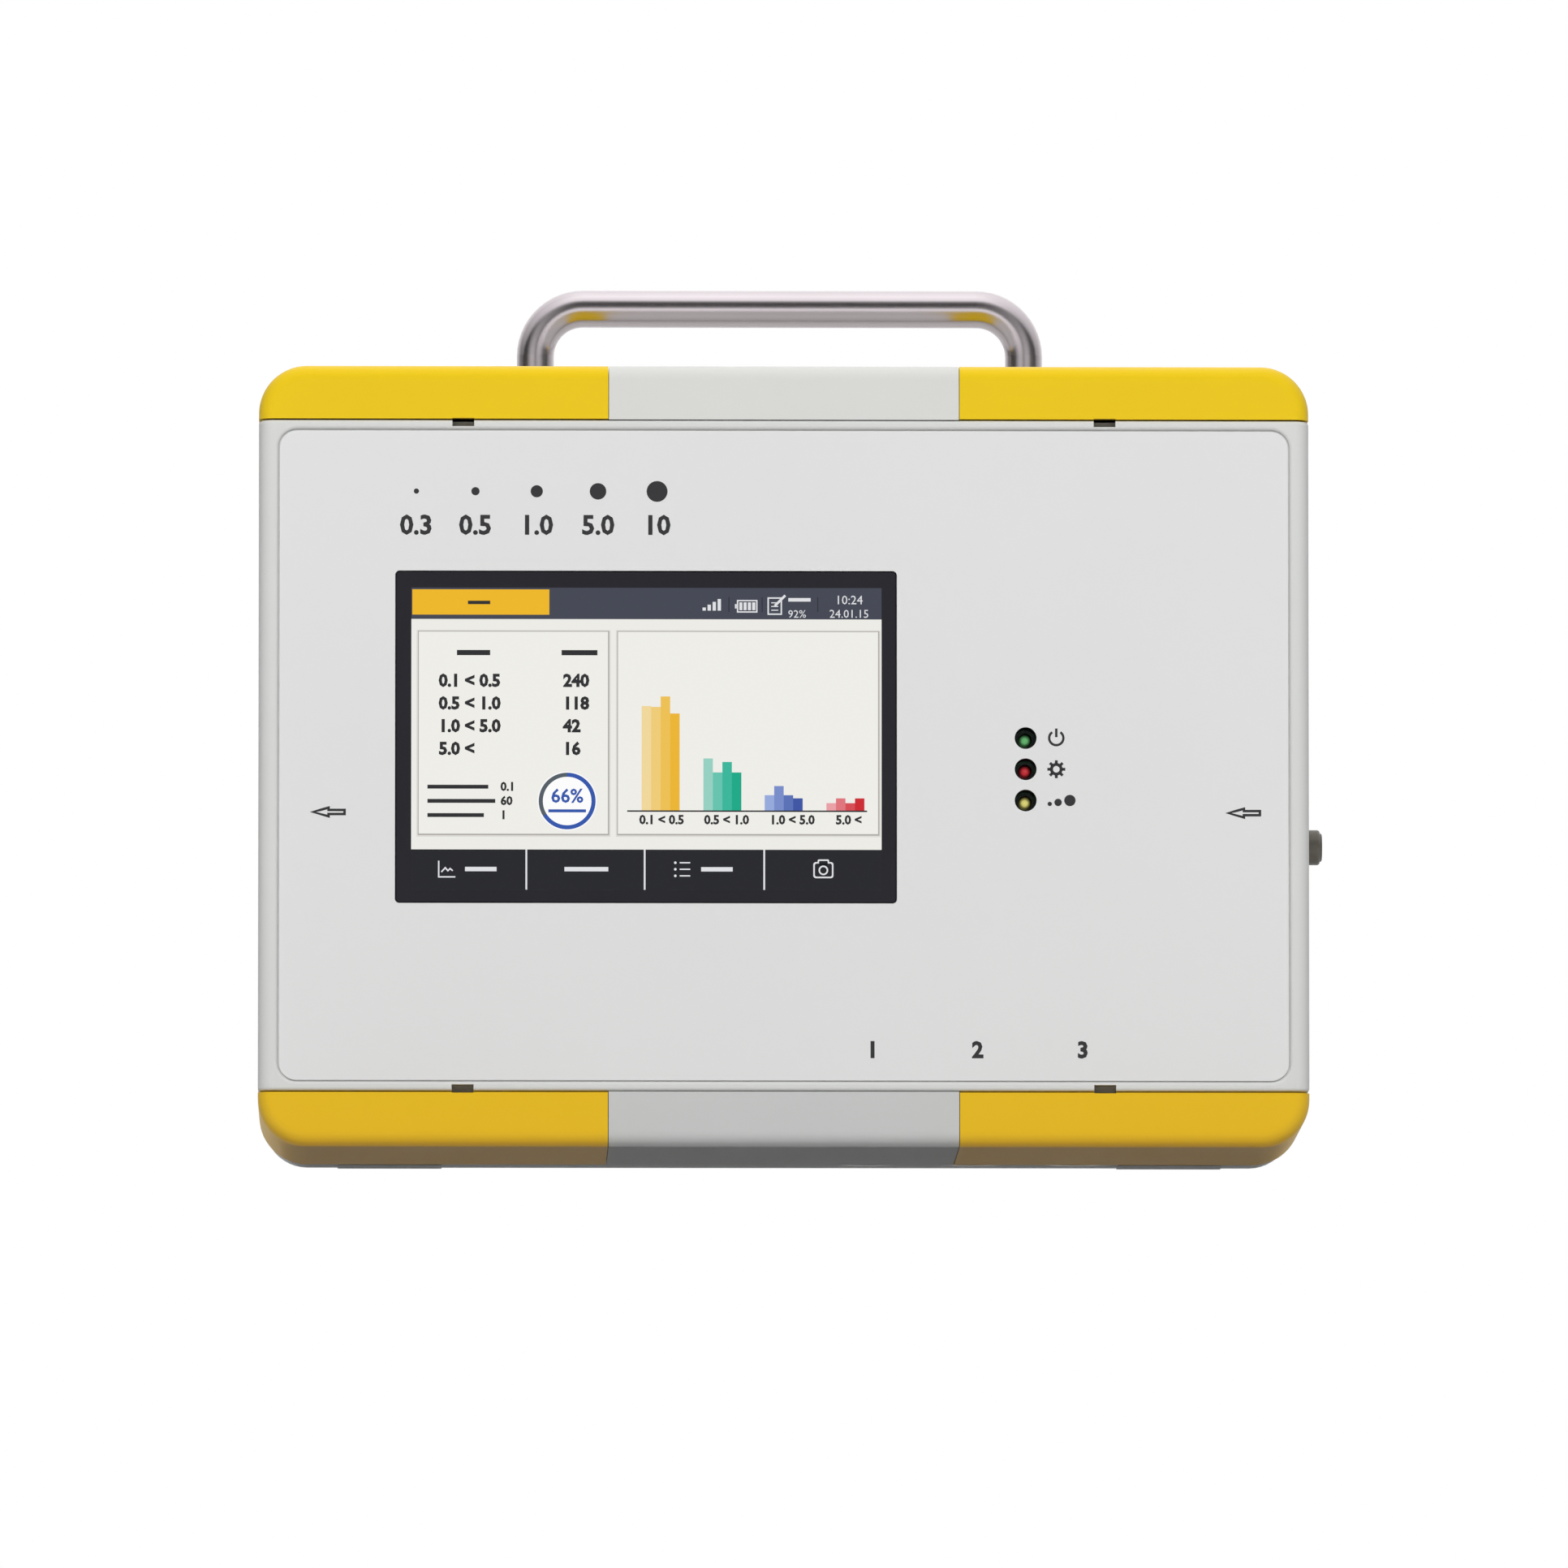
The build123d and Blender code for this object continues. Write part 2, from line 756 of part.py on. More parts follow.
def make_connector_inserts():
    """Three insulators with 4, 5 and 8 contact holes."""
    inserts = []
    for x, count in zip(connector_places(), (4, 5, 8)):
        insert = rod_z(connector_insert, x, connector_y, (connector_seat, connector_end))
        for place in PolarLocations(connector_circle, count):
            hole = rod_z(connector_pin, 0, 0, (connector_seat, connector_seat + contact_depth))
            insert -= Pos(x, connector_y, 0) * place * hole
        inserts.append(insert)
    return inserts


def make_connector_nuts():
    nuts = []
    for x in connector_places():
        nut = Pos(x, connector_y, floor_z) * hexagon(*connector_nut)
        heights = (floor_z, floor_z + connector_nut[1])
        nuts.append(nut - rod_z(connector_barrel + thread_fit, x, connector_y, heights))
    return nuts


# ---------------------------------------------------------------- electronics
def main_holes():
    half_x = main_board_width / 2 - board_hole_inset
    half_z = main_board_height / 2 - board_hole_inset
    return [(main_board_x + i * half_x, main_board_z + j * half_z) for i in (-1, 1) for j in (-1, 1)]


def make_main_board():
    """Main circuit board with its larger components."""
    board = block(around(main_board_x, main_board_width), (main_front, main_back),
                  around(main_board_z, main_board_height))
    for x, z in main_holes():
        board -= rod_y(small_screw[0] + hole_fit, x, (main_front, main_back), z)
    board += block(around(ribbon_x, ribbon_width + header_margin), (main_front - header_depth, main_front),
                   around(ribbon_z, header_height))
    for x, z, width, height, depth in main_parts:
        board += block(around(main_board_x + x, width), (main_front - depth, main_front),
                       around(main_board_z + z, height))
    radius, length = capacitor
    for x, z in capacitor_places:
        board += rod_y(radius, main_board_x + x, (main_front - length, main_front), main_board_z + z)
    return board


def make_standoffs():
    spacers = []
    for x, z in main_holes():
        spacer = Pos(x, inner_back, z) * Rot(90, 0, 0) * hexagon(standoff_radius, standoff_length)
        spacers.append(spacer - rod_y(small_screw[0] + thread_fit, x, (main_back, inner_back), z))
    return spacers


def make_board_screws():
    screws = []
    for x, z in main_holes():
        shank = rod_y(small_screw[0], x, (main_front, main_back + small_reach), z)
        screws.append(shank + rod_y(small_screw[1], x, (main_front - small_screw[2], main_front), z))
    return screws


def make_battery():
    width, depth, height = battery_size
    low = floor_z + sheet
    pack = block(around(battery_x, width), around(0, depth), (low, low + height))
    return fillet(pack.edges().filter_by(Axis.X), 4)


def make_battery_tray():
    """Bent sheet cradle on the tub's floor."""
    width, depth, height = battery_size
    half = depth / 2
    tray = block(around(battery_x, width), (-half - sheet, half + sheet), (floor_z, floor_z + sheet))
    for way in (-1, 1):
        face = way * (half + sheet / 2)
        tray += block(around(battery_x, width), around(face, sheet), (floor_z, floor_z + height / 2))
    return tray


# ---------------------------------------------------------------- optical sensor
def make_sensor_housing():
    """Machined block where the air path, the laser beam and the collecting optics cross."""
    width, _, height = sensor_size
    body = block(around(sensor_x, width), (sensor_front, sensor_back), around(port_z, height))
    body = fillet(body.edges().filter_by(Axis.Y), 3)
    body -= Pos(sensor_x, port_y, port_z) * Sphere(chamber_radius)
    body -= rod_x(barb_radius + hole_fit, (sensor_left, sensor_right), port_y, port_z)
    body -= rod_z(laser_radius + thread_fit, sensor_x, port_y, (sensor_low, port_z))
    body -= rod_z(laser_radius + thread_fit, sensor_x, port_y, (port_z, sensor_high))
    body -= rod_y(mirror_radius + thread_fit, sensor_x, (sensor_front, port_y), port_z)
    body -= rod_y(detector_radius + thread_fit, sensor_x, (port_y, sensor_back), port_z)
    for x, z in sensor_corners():
        body -= rod_y(sensor_screw[0] + hole_fit, x, (sensor_front, sensor_back), z)
    return body


def make_laser_module():
    top = sensor_low + optics_seat
    barrel = rod_z(laser_radius, sensor_x, port_y, (top - laser_length, top))
    barrel += rod_z(laser_radius + lip, sensor_x, port_y, (sensor_low - lip, sensor_low))
    return barrel - rod_z(beam_hole[0], sensor_x, port_y, (top - beam_hole[1], top))


def make_beam_lens():
    """Flat lens with a shallow crown."""
    low = sensor_low + optics_seat
    rim = low + lens_thickness
    lens = rod_z(lens_radius, sensor_x, port_y, (low, rim))
    dome = Pos(sensor_x, port_y, rim + 1 - lens_curve) * Sphere(lens_curve)
    return lens + (dome & rod_z(lens_radius, sensor_x, port_y, (rim, rim + lens_crown)))


def make_beam_trap():
    """Plug with a conical pit that swallows the laser beam."""
    low = sensor_high - trap_length
    plug = rod_z(laser_radius, sensor_x, port_y, (low, sensor_high))
    plug += rod_z(laser_radius + lip, sensor_x, port_y, (sensor_high, sensor_high + lip))
    point, depth = pit
    return plug - Pos(sensor_x, port_y, low + depth / 2) * Cone(laser_radius - 1, point, depth)


def make_mirror():
    """Concave collecting mirror."""
    blank = rod_y(mirror_radius, sensor_x, (sensor_front, sensor_front + mirror_thickness), port_z)
    centre = sensor_front + mirror_thickness / 2 + mirror_curve
    return blank - Pos(sensor_x, centre, port_z) * Sphere(mirror_curve)


def make_detector_board():
    """Light detector in its can on a small board."""
    can = rod_y(detector_radius, sensor_x, (sensor_back - 6, sensor_back), port_z)
    half = sensor_size[2] / 2 - 2 * sensor_post - 0.5
    board = block(around(sensor_x, 26), (sensor_back, sensor_back + circuit_thickness),
                  (port_z - half, port_z + half))
    return can + board


def make_nozzle(way):
    """Air nozzle into the chamber, with its flange on the housing and a hose barb outside."""
    face = sensor_x + way * sensor_size[0] / 2
    end = sensor_x + way * nozzle_gap
    stem = rod_x(barb_radius, (min(end, face), max(end, face)), port_y, port_z)
    outer = face + way * nozzle_flange
    stem += rod_x(flange_radius, (min(face, outer), max(face, outer)), port_y, port_z)
    tip = outer + way * nozzle_barb
    stem += rod_x(barb_radius, (min(outer, tip), max(outer, tip)), port_y, port_z)
    return stem - rod_x(air_bore, (min(end, tip), max(end, tip)), port_y, port_z)


def make_sensor_screws():
    radius, head_radius, head = sensor_screw
    screws = []
    for x, z in sensor_corners():
        shank = rod_y(radius, x, (sensor_front, sensor_back + sensor_reach), z)
        screws.append(shank + rod_y(head_radius, x, (sensor_front - head, sensor_front), z))
    return screws


# ---------------------------------------------------------------- pump and hoses
def make_pump_head():
    """Diaphragm pump head with a suction stub at the left and a pressure stub on top."""
    width, depth, height = pump_head
    head = block(around(pump_x, width), (pump_front, pump_back), around(pump_z, height))
    head = fillet(head.edges().filter_by(Axis.X), 3)
    head += rod_x(barb_radius, (pump_left - port_stub, pump_left), port_y, pump_z + stub_rise)
    return head + rod_z(barb_radius, pump_x, port_y, (pump_high, pump_high + port_stub))


def make_pump_motor():
    motor = rod_x(motor_radius, (pump_right, motor_end), motor_y, pump_z)
    motor = fillet(motor.edges().group_by(Axis.X)[-1], 2)
    radius, length = motor_shaft
    return motor + rod_x(radius, (motor_end, motor_end + length), motor_y, pump_z)


def make_pump_bracket():
    """Plate behind the pump with a cradle for the motor."""
    plate = block((pump_left, motor_end), (pump_back, pump_back + sheet),
                  around(pump_z, pump_head[2] + 2 * plate_margin))
    start, length, height = saddle
    start += pump_right
    cradle = block((start, start + length), (motor_y, pump_back), around(pump_z, height))
    return plate + (cradle - rod_x(motor_radius + thread_fit, (pump_right, motor_end), motor_y, pump_z))


def make_pump_mounts():
    """Four rubber buffers between the pump plate and the tub's rear wall."""
    buffers = []
    for x in (pump_left + plate_margin, motor_end - plate_margin):
        for way in (-1, 1):
            z = pump_z + way * pump_head[2] / 2
            buffers.append(rod_y(buffer_radius, x, (pump_back + sheet, inner_back), z))
    return buffers


def make_air_filter():
    """In-line capsule filter with a stub at each end."""
    half = filter_length / 2
    capsule = rod_z(filter_radius, filter_x, port_y, around(filter_z, filter_length))
    capsule = fillet(capsule.edges(), 3)
    return capsule + rod_z(barb_radius, filter_x, port_y, around(filter_z, 2 * half + 2 * port_stub))


def make_inlet_hose():
    """Short hose over the inlet's barb and the sampling nozzle."""
    start, end = sensor_right + nozzle_flange + hole_fit, port_thread_end - hole_fit
    hose_ring = rod_x(hose_radius, (start, end), port_y, port_z)
    return hose_ring - rod_x(barb_radius + thread_fit, (start, end), port_y, port_z)


def make_sample_hose():
    start = sensor_left - nozzle_flange - nozzle_barb
    low = filter_z - filter_length / 2 - port_stub
    return hose([(start, port_z, 0), (filter_x, port_z, 7), (filter_x, low, 0)], port_y)


def make_pump_hose():
    high = filter_z + filter_length / 2 + port_stub
    level = pump_z + stub_rise
    return hose([(filter_x, high, 0), (filter_x, level, 6), (pump_left - port_stub, level, 0)], port_y)


def make_exhaust_hose():
    start = pump_high + port_stub
    level = inner_z - 2 * hose_radius
    end = -barb_end
    drop = end + 10
    return hose([(pump_x, start, 0), (pump_x, level, 6), (drop, level, 14), (drop, port_z, 8),
                 (end, port_z, 0)], port_y)


# ---------------------------------------------------------------- every node
def build():
    """All sub-parts by name; a list is a group of separate like pieces."""
    form = front_form()
    cover = make_cover(form)
    low_cover = mirror(cover, about=middle_plane)
    power_x, network_x, signal_x = connector_places()
    green_z, red_z, yellow_z = reversed(led_places())
    return {
        "base": make_base(form),
        "lid": make_lid(form),
        "lid_gasket": make_gasket(),
        "cover_top_right": cover,
        "cover_top_left": mirror(cover, about=Plane.YZ),
        "cover_bottom_right": low_cover,
        "cover_bottom_left": mirror(low_cover, about=Plane.YZ),
        "lid_screws": make_lid_screws(),
        "front_overlay": make_overlay(),
        "touch_glass": make_touch_glass(),
        "lcd_panel": make_lcd_panel(),
        "display_board": make_display_board(),
        "led_board": make_led_board(),
        "led_shroud": make_led_shroud(),
        "led_green": make_led(green_z),
        "led_red": make_led(red_z),
        "led_yellow": make_led(yellow_z),
        "front_screws": make_front_screws(),
        "display_ribbon": make_ribbon(),
        "handle": make_handle(),
        "handle_screws": make_handle_screws(),
        "handle_washers": make_handle_washers(),
        "inlet_fitting": make_inlet_fitting(),
        "inlet_collet": make_inlet_collet(),
        "inlet_seal": make_inlet_seal(),
        "inlet_nut": port_nut_at(inner_x - port_nut[1]),
        "outlet_vent": make_outlet_vent(),
        "outlet_disc": make_vent_disc(),
        "outlet_nut": port_nut_at(-inner_x),
        "power_connector": make_connector(power_x),
        "network_connector": make_connector(network_x),
        "signal_connector": make_connector(signal_x),
        "connector_inserts": make_connector_inserts(),
        "connector_nuts": make_connector_nuts(),
        "main_board": make_main_board(),
        "board_standoffs": make_standoffs(),
        "board_screws": make_board_screws(),
        "battery_pack": make_battery(),
        "battery_tray": make_battery_tray(),
        "sensor_housing": make_sensor_housing(),
        "laser_module": make_laser_module(),
        "beam_lens": make_beam_lens(),
        "beam_trap": make_beam_trap(),
        "collecting_mirror": make_mirror(),
        "detector_board": make_detector_board(),
        "inlet_nozzle": make_nozzle(1),
        "exit_nozzle": make_nozzle(-1),
        "sensor_screws": make_sensor_screws(),
        "pump_head": make_pump_head(),
        "pump_motor": make_pump_motor(),
        "pump_bracket": make_pump_bracket(),
        "pump_mounts": make_pump_mounts(),
        "air_filter": make_air_filter(),
        "inlet_hose": make_inlet_hose(),
        "sample_hose": make_sample_hose(),
        "pump_hose": make_pump_hose(),
        "exhaust_hose": make_exhaust_hose(),
    }


os.makedirs("parts", exist_ok=True)
for name, shape in build().items():
    if isinstance(shape, list):
        shape = Compound(children=[solid for piece in shape for solid in piece.solids()])
    export_step(shape, f"parts/{name}.step")
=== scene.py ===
"""Finishes, printed marks, screen picture, small turned details and the stage of a particle counter."""

import math

import bpy
import numpy as np
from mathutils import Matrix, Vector


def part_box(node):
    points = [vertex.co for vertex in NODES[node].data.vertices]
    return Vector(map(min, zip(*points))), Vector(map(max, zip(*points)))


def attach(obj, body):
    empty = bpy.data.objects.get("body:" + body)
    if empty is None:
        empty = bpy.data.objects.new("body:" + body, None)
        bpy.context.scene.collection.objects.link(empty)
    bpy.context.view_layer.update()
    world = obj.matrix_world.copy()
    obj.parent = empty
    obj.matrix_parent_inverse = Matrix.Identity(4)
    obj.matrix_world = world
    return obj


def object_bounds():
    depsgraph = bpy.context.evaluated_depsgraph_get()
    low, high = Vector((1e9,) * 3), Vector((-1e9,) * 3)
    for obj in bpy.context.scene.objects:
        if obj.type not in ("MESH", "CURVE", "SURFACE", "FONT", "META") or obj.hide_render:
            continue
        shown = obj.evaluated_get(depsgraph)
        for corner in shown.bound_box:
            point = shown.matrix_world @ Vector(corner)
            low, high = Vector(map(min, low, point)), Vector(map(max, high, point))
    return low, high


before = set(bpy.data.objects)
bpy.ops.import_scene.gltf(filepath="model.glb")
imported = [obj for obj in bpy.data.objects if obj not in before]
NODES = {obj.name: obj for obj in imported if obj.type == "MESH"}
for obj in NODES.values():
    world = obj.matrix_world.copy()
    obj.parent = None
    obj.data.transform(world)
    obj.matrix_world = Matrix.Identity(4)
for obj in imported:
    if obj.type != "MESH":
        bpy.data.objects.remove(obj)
cad_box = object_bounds()

bl_info = {
    "name": "Particle Counter Finish",
    "version": (1, 0, 0),
    "blender": (4, 5, 0),
    "location": "3D View > Sidebar > Counter",
    "description": "Finishes, printed marks, screen picture and stage for an airborne particle counter",
    "category": "Object",
}

MM = 0.001
# Room brightness for gloss. By height, in turns: 0 and 1 back horizon, 0.25 down, 0.5 front horizon.
# Round the horizon, in turns: 0.5 front, 0.25 and 0.75 the sides, 0 and 1 the back.
HEIGHT_STOPS = (
    (0.0, 0.6), (0.2, 0.65), (0.35, 0.75), (0.42, 0.75), (0.475, 0.85), (0.495, 0.6), (0.51, 0.2),
    (0.525, 0.0), (0.585, 0.0), (0.61, 0.15), (0.65, 0.85), (0.72, 1.05), (0.86, 0.8), (0.95, 0.8),
    (1.0, 0.6))
ROUND_STOPS = (
    (0.0, 0.7), (0.14, 0.4), (0.2, 0.1), (0.26, 0.03), (0.35, 0.06), (0.43, 0.55), (0.5, 0.6),
    (0.57, 0.5), (0.63, 0.12), (0.7, 0.06), (0.78, 0.3), (0.88, 0.55), (1.0, 0.7))
ROOM_PEAK = 1.6
# Height in metres up to which the tub and covers take painted shade, darker towards the foot.
FOOT_SHADE_HEIGHT = 0.17
CONNECTORS = ("power_connector", "network_connector", "signal_connector")
LIGHT_TINTS = {"led_green": (100, 178, 110), "led_red": (196, 50, 58), "led_yellow": (222, 214, 120)}
NICKEL = (0.72, 0.71, 0.7)

# Circuit boards: spacing of the tracks and pads in metres, and their linear colours.
TRACK_PITCH = 0.0016
PAD_SPACING = 0.0042
MASK_GREEN = (0.006, 0.075, 0.03, 1)
TRACK_GREEN = (0.014, 0.16, 0.06, 1)
PAD_GOLD = (0.75, 0.62, 0.36, 1)

# Sockets, in millimetres: where the thread and the pins start, and their sizes.
SOCKET_BORE = 5.9
THREAD_START = 0.6
THREAD_PITCH = 1.0
THREAD_DEPTH = 0.45
THREAD_TURNS = 5
PIN_COUNTS = (4, 5, 8)
PIN_START = 1.6
PIN_CIRCLE = 2.6
PIN_RADIUS = 0.42
PIN_LENGTH = 2

# Printed marks, in millimetres from the middle of the case's underside.
ARROW_PLACES = ((-104, 76.4), (105, 76.4))
SYMBOLS_SIDE = 62.2
SIZE_SCALE = ((-84, 0.6, "0.3"), (-70.5, 0.95, "0.5"), (-56.5, 1.4, "1.0"), (-42.5, 1.9, "5.0"),
              (-29, 2.4, "10"))
SCALE_DOTS = 150
SCALE_FIGURES = 140.2
SCALE_SIZE = 4.3
SOCKET_FIGURES = 20.4
SOCKET_SIZE = 3.6

# Drawn shapes: sides of a dot, points of a rounded corner, degrees of a ring's step, and the share of a
# letter's size that a figure is high.
DOT_SIDES = 24
CORNER_POINTS = 6
RING_STEP = 6
FIGURE_SHARE = 0.7

# Stage, in metres: the floor, and each lamp's place, side and power setting.
FLOOR_RADIUS = 3
FLOOR_SIDES = 96
FLOOR_HEIGHT = -0.0002
LAMPS = (
    ("left_lamp", (-0.95, -2.7, 1.65), 0.9, "lamp_power"),
    ("right_lamp", (0.95, -2.7, 1.65), 0.9, "lamp_power"),
    ("top_lamp", (0.0, 0.6, 2.0), 1.2, "top_power"),
    ("back_lamp", (0.0, 2.6, 1.5), 1.2, "back_power"),
)


# ---------------------------------------------------------------- sizes and colours a user would change
def colour_property(name, description, red, green, blue):
    """A colour written in the 0 to 255 steps of a colour chart."""
    default = (red / 255, green / 255, blue / 255)
    return bpy.props.FloatVectorProperty(
        name=name, description=description, subtype="COLOR_GAMMA", size=3, min=0, max=1, default=default)


def size_property(name, description, default):
    """A length in metres."""
    return bpy.props.FloatProperty(name=name, description=description, default=default, unit="LENGTH",
                                   precision=5)


def plain_property(name, description, default):
    return bpy.props.FloatProperty(name=name, description=description, default=default)


class CounterCase(bpy.types.PropertyGroup):
    """Moulded case, lid, covers and front foil."""
    case_colour: colour_property("Case", "Moulded grey of the tub", 214, 214, 211)
    # Painted shade: these two foot colours stand in for light that falls off towards the bottom, not a colour
    # of the moulding.
    case_foot_shade: colour_property("Case foot", "Grey at the foot of the tub", 196, 197, 196)
    cover_foot_shade: colour_property("Cover foot", "Yellow at the foot of the lower covers", 229, 184, 26)
    lid_colour: colour_property("Lid", "Moulded grey of the lid", 213, 214, 212)
    cover_colour: colour_property("Covers", "Moulded yellow of the corner covers", 232, 196, 18)
    foil_colour: colour_property("Foil", "Grey of the front foil", 222, 222, 222)
    grain_size: size_property("Grain", "Spacing of the moulded grain", 0.00045)
    grain_depth: size_property("Grain depth", "Height of the moulded grain", 0.000012)


class CounterMetal(bpy.types.PropertyGroup):
    """Bars, fittings and screws."""
    steel_colour: colour_property("Steel", "Satin stainless steel", 200, 192, 196)
    dark_colour: colour_property("Gunmetal", "Dark anodised fittings", 102, 98, 90)
    brass_colour: colour_property("Brass", "Turned brass", 214, 176, 98)
    gold_colour: colour_property("Gold", "Plated contacts", 236, 190, 92)
    turning_pitch: size_property("Turning pitch", "Spacing of the turning marks", 0.00016)


class CounterFront(bpy.types.PropertyGroup):
    """Display, lights and printed marks."""
    glass_colour: colour_property("Display border", "Black behind the display glass", 38, 37, 43)
    ink_colour: colour_property("Ink", "Dark printed marks", 44, 44, 46)
    print_lift: size_property("Print lift", "How far a printed mark stands off its surface", 0.00002)
    screen_margin: size_property("Screen margin", "Black border at the sides of the lit picture", 0.0035)
    screen_width: size_property("Screen width", "Width of the lit picture", 0.1074)
    screen_height: size_property("Screen height", "Height of the lit picture", 0.0693)
    screen_low: size_property("Screen low edge", "Black border under the lit picture", 0.0028)
    glow: plain_property("Screen glow", "Brightness of the lit picture", 0.96)


class CounterStage(bpy.types.PropertyGroup):
    """Camera, lamps and floor."""
    distance: size_property("Distance", "Camera distance from the front face", 5.5)
    camera_side: size_property("Camera side", "Camera place along X", -0.085)
    camera_height: size_property("Camera height", "Camera place along Z", -0.382)
    aim_height: size_property("Aim height", "Height that the camera looks at", 0.0829)
    pixels_per_metre: plain_property("Scale", "Picture points for each metre of the front face", 5397)
    picture_width: plain_property("Picture width", "Picture points across the frame", 1932)
    lamp_power: plain_property("Front lamps", "Power of each front lamp in watts", 42)
    top_power: plain_property("Top lamp", "Power of the overhead lamp in watts", 15)
    back_power: plain_property("Back lamp", "Power of the lamp behind in watts", 24)
    sky_level: plain_property("Sky level", "Strength of the even surrounding light", 0.15)
    floor_colour: colour_property("Floor", "Pale floor", 236, 236, 236)


# ---------------------------------------------------------------- shader expressions
def linear(colour):
    """Linear red, green, blue and alpha of a chart colour: a 2.4 power curve with a straight foot."""
    channels = [c / 12.92 if c <= 0.04045 else ((c + 0.055) / 1.055) ** 2.4 for c in colour]
    return (*channels, 1.0)


def both_ways(operation):
    """The two methods of an operator: with the socket first, and with the other value first."""
    def forward(self, other):
        return self.builder.math(operation, self, other)

    def reflected(self, other):
        return self.builder.math(operation, other, self)

    return forward, reflected


class Wire:
    """A shader socket that takes + - * / ** with numbers and other sockets, on either side."""
    __add__, __radd__ = both_ways("ADD")
    __sub__, __rsub__ = both_ways("SUBTRACT")
    __mul__, __rmul__ = both_ways("MULTIPLY")
    __truediv__, __rtruediv__ = both_ways("DIVIDE")
    __pow__, __rpow__ = both_ways("POWER")

    def __init__(self, builder, socket):
        self.builder = builder
        self.socket = socket


class Builder:
    """Adds nodes to one node tree."""

    def __init__(self, tree):
        self.tree = tree

    def node(self, kind, settings=None, **inputs):
        """Adds a node of a type, sets its settings first, then its sockets by name or number."""
        made = self.tree.nodes.new(kind)
        for name, value in (settings or {}).items():
            if name == "stops":
                self.set_stops(made.color_ramp, value)
            else:
                setattr(made, name, value)
        for name, value in inputs.items():
            key = int(name[1:]) if name[1:].isdigit() and name[0] == "n" else name.replace("_", " ")
            self.plug(made.inputs[key], value)
        return made

    def plug(self, socket, value):
        """Links a wire to a socket, or sets its value."""
        if isinstance(value, Wire):
            self.tree.links.new(value.socket, socket)
        else:
            socket.default_value = value

    def set_stops(self, ramp, stops):
        """Gives a colour ramp its (place, level) stops."""
        while len(ramp.elements) < len(stops):
            ramp.elements.new(0.5)
        for element, (place, level) in zip(ramp.elements, stops):
            element.position = place
            element.color = (level, level, level, 1)

    def wire(self, node, output=0):
        return Wire(self, node.outputs[output])

    def math(self, operation, *values):
        inputs = {f"n{i}": value for i, value in enumerate(values)}
        return self.wire(self.node("ShaderNodeMath", {"operation": operation}, **inputs))

    def clamp(self, value):
        """The value held between 0 and 1."""
        return self.math("MINIMUM", self.math("MAXIMUM", value, 0), 1)

    def level_at(self, stops, rise, run):
        """Ramp level at the angle whose tangent is rise over run, with half a turn at zero."""
        angle = self.math("ARCTAN2", rise, run) / (2 * math.pi) + 0.5
        return self.wire(self.node("ShaderNodeValToRGB", {"stops": stops}, Fac=angle))

    def blend(self, factor, first, second):
        """Colour that runs from the first to the second as the factor goes from 0 to 1."""
        made = self.node("ShaderNodeMix", {"data_type": "RGBA"}, n0=factor, n6=first, n7=second)
        return self.wire(made, 2)


class Finish(Builder):
    """Builds one material: a Principled shader and the nodes that vary it."""

    def __init__(self, name, **constants):
        self.material = bpy.data.materials.new(name)
        self.material.use_nodes = True
        super().__init__(self.material.node_tree)
        self.shader = self.tree.nodes["Principled BSDF"]
        for socket, value in constants.items():
            self.shader.inputs[socket.replace("_", " ")].default_value = value

    def axes(self):
        """The object's own X, Y and Z in metres."""
        place = self.node("ShaderNodeTexCoord")
        parts = self.node("ShaderNodeSeparateXYZ", Vector=self.wire(place, "Object"))
        return [self.wire(parts, i) for i in range(3)]

    def point(self, scale=(1, 1, 1)):
        """The object's own place, scaled along each axis."""
        place = self.node("ShaderNodeTexCoord")
        return self.wire(self.node("ShaderNodeMapping", Vector=self.wire(place, "Object"), Scale=scale))

    def noise(self, spacing, detail=3.0, stretch=(1, 1, 1)):
        """Soft noise from 0 to 1 whose lumps are about a spacing apart."""
        made = self.node("ShaderNodeTexNoise", Vector=self.point(stretch), Scale=1 / spacing, Detail=detail)
        return self.wire(made)

    def cells(self, spacing):
        """Distance from scattered cell centres, in cells."""
        return self.wire(self.node("ShaderNodeTexVoronoi", Vector=self.point(), Scale=1 / spacing))

    def shade(self, colour, factor, amount):
        """The colour made lighter and darker by an amount as the factor runs from 0 to 1."""
        light = tuple(min(1.0, c * (1 + amount)) for c in colour[:3]) + (1.0,)
        dark = tuple(c * (1 - amount) for c in colour[:3]) + (1.0,)
        return self.blend(factor, dark, light)

    def relief(self, height, depth, strength=1.0):
        """Bumps the surface by a height wire whose full range is a depth in metres."""
        bump = self.node("ShaderNodeBump", Strength=strength, Distance=depth, Height=height)
        self.tree.links.new(bump.outputs[0], self.shader.inputs["Normal"])

    def set(self, **wires):
        """Feeds wires to the shader's own sockets."""
        for socket, value in wires.items():
            self.plug(self.shader.inputs[socket.replace("_", " ")], value)
        return self

    def on(self, *names):
        """Gives the material to CAD nodes or pieces."""
        for name in names:
            target = NODES.get(name) or bpy.data.objects[name]
            target.data.materials.clear()
            target.data.materials.append(self.material)
        return self


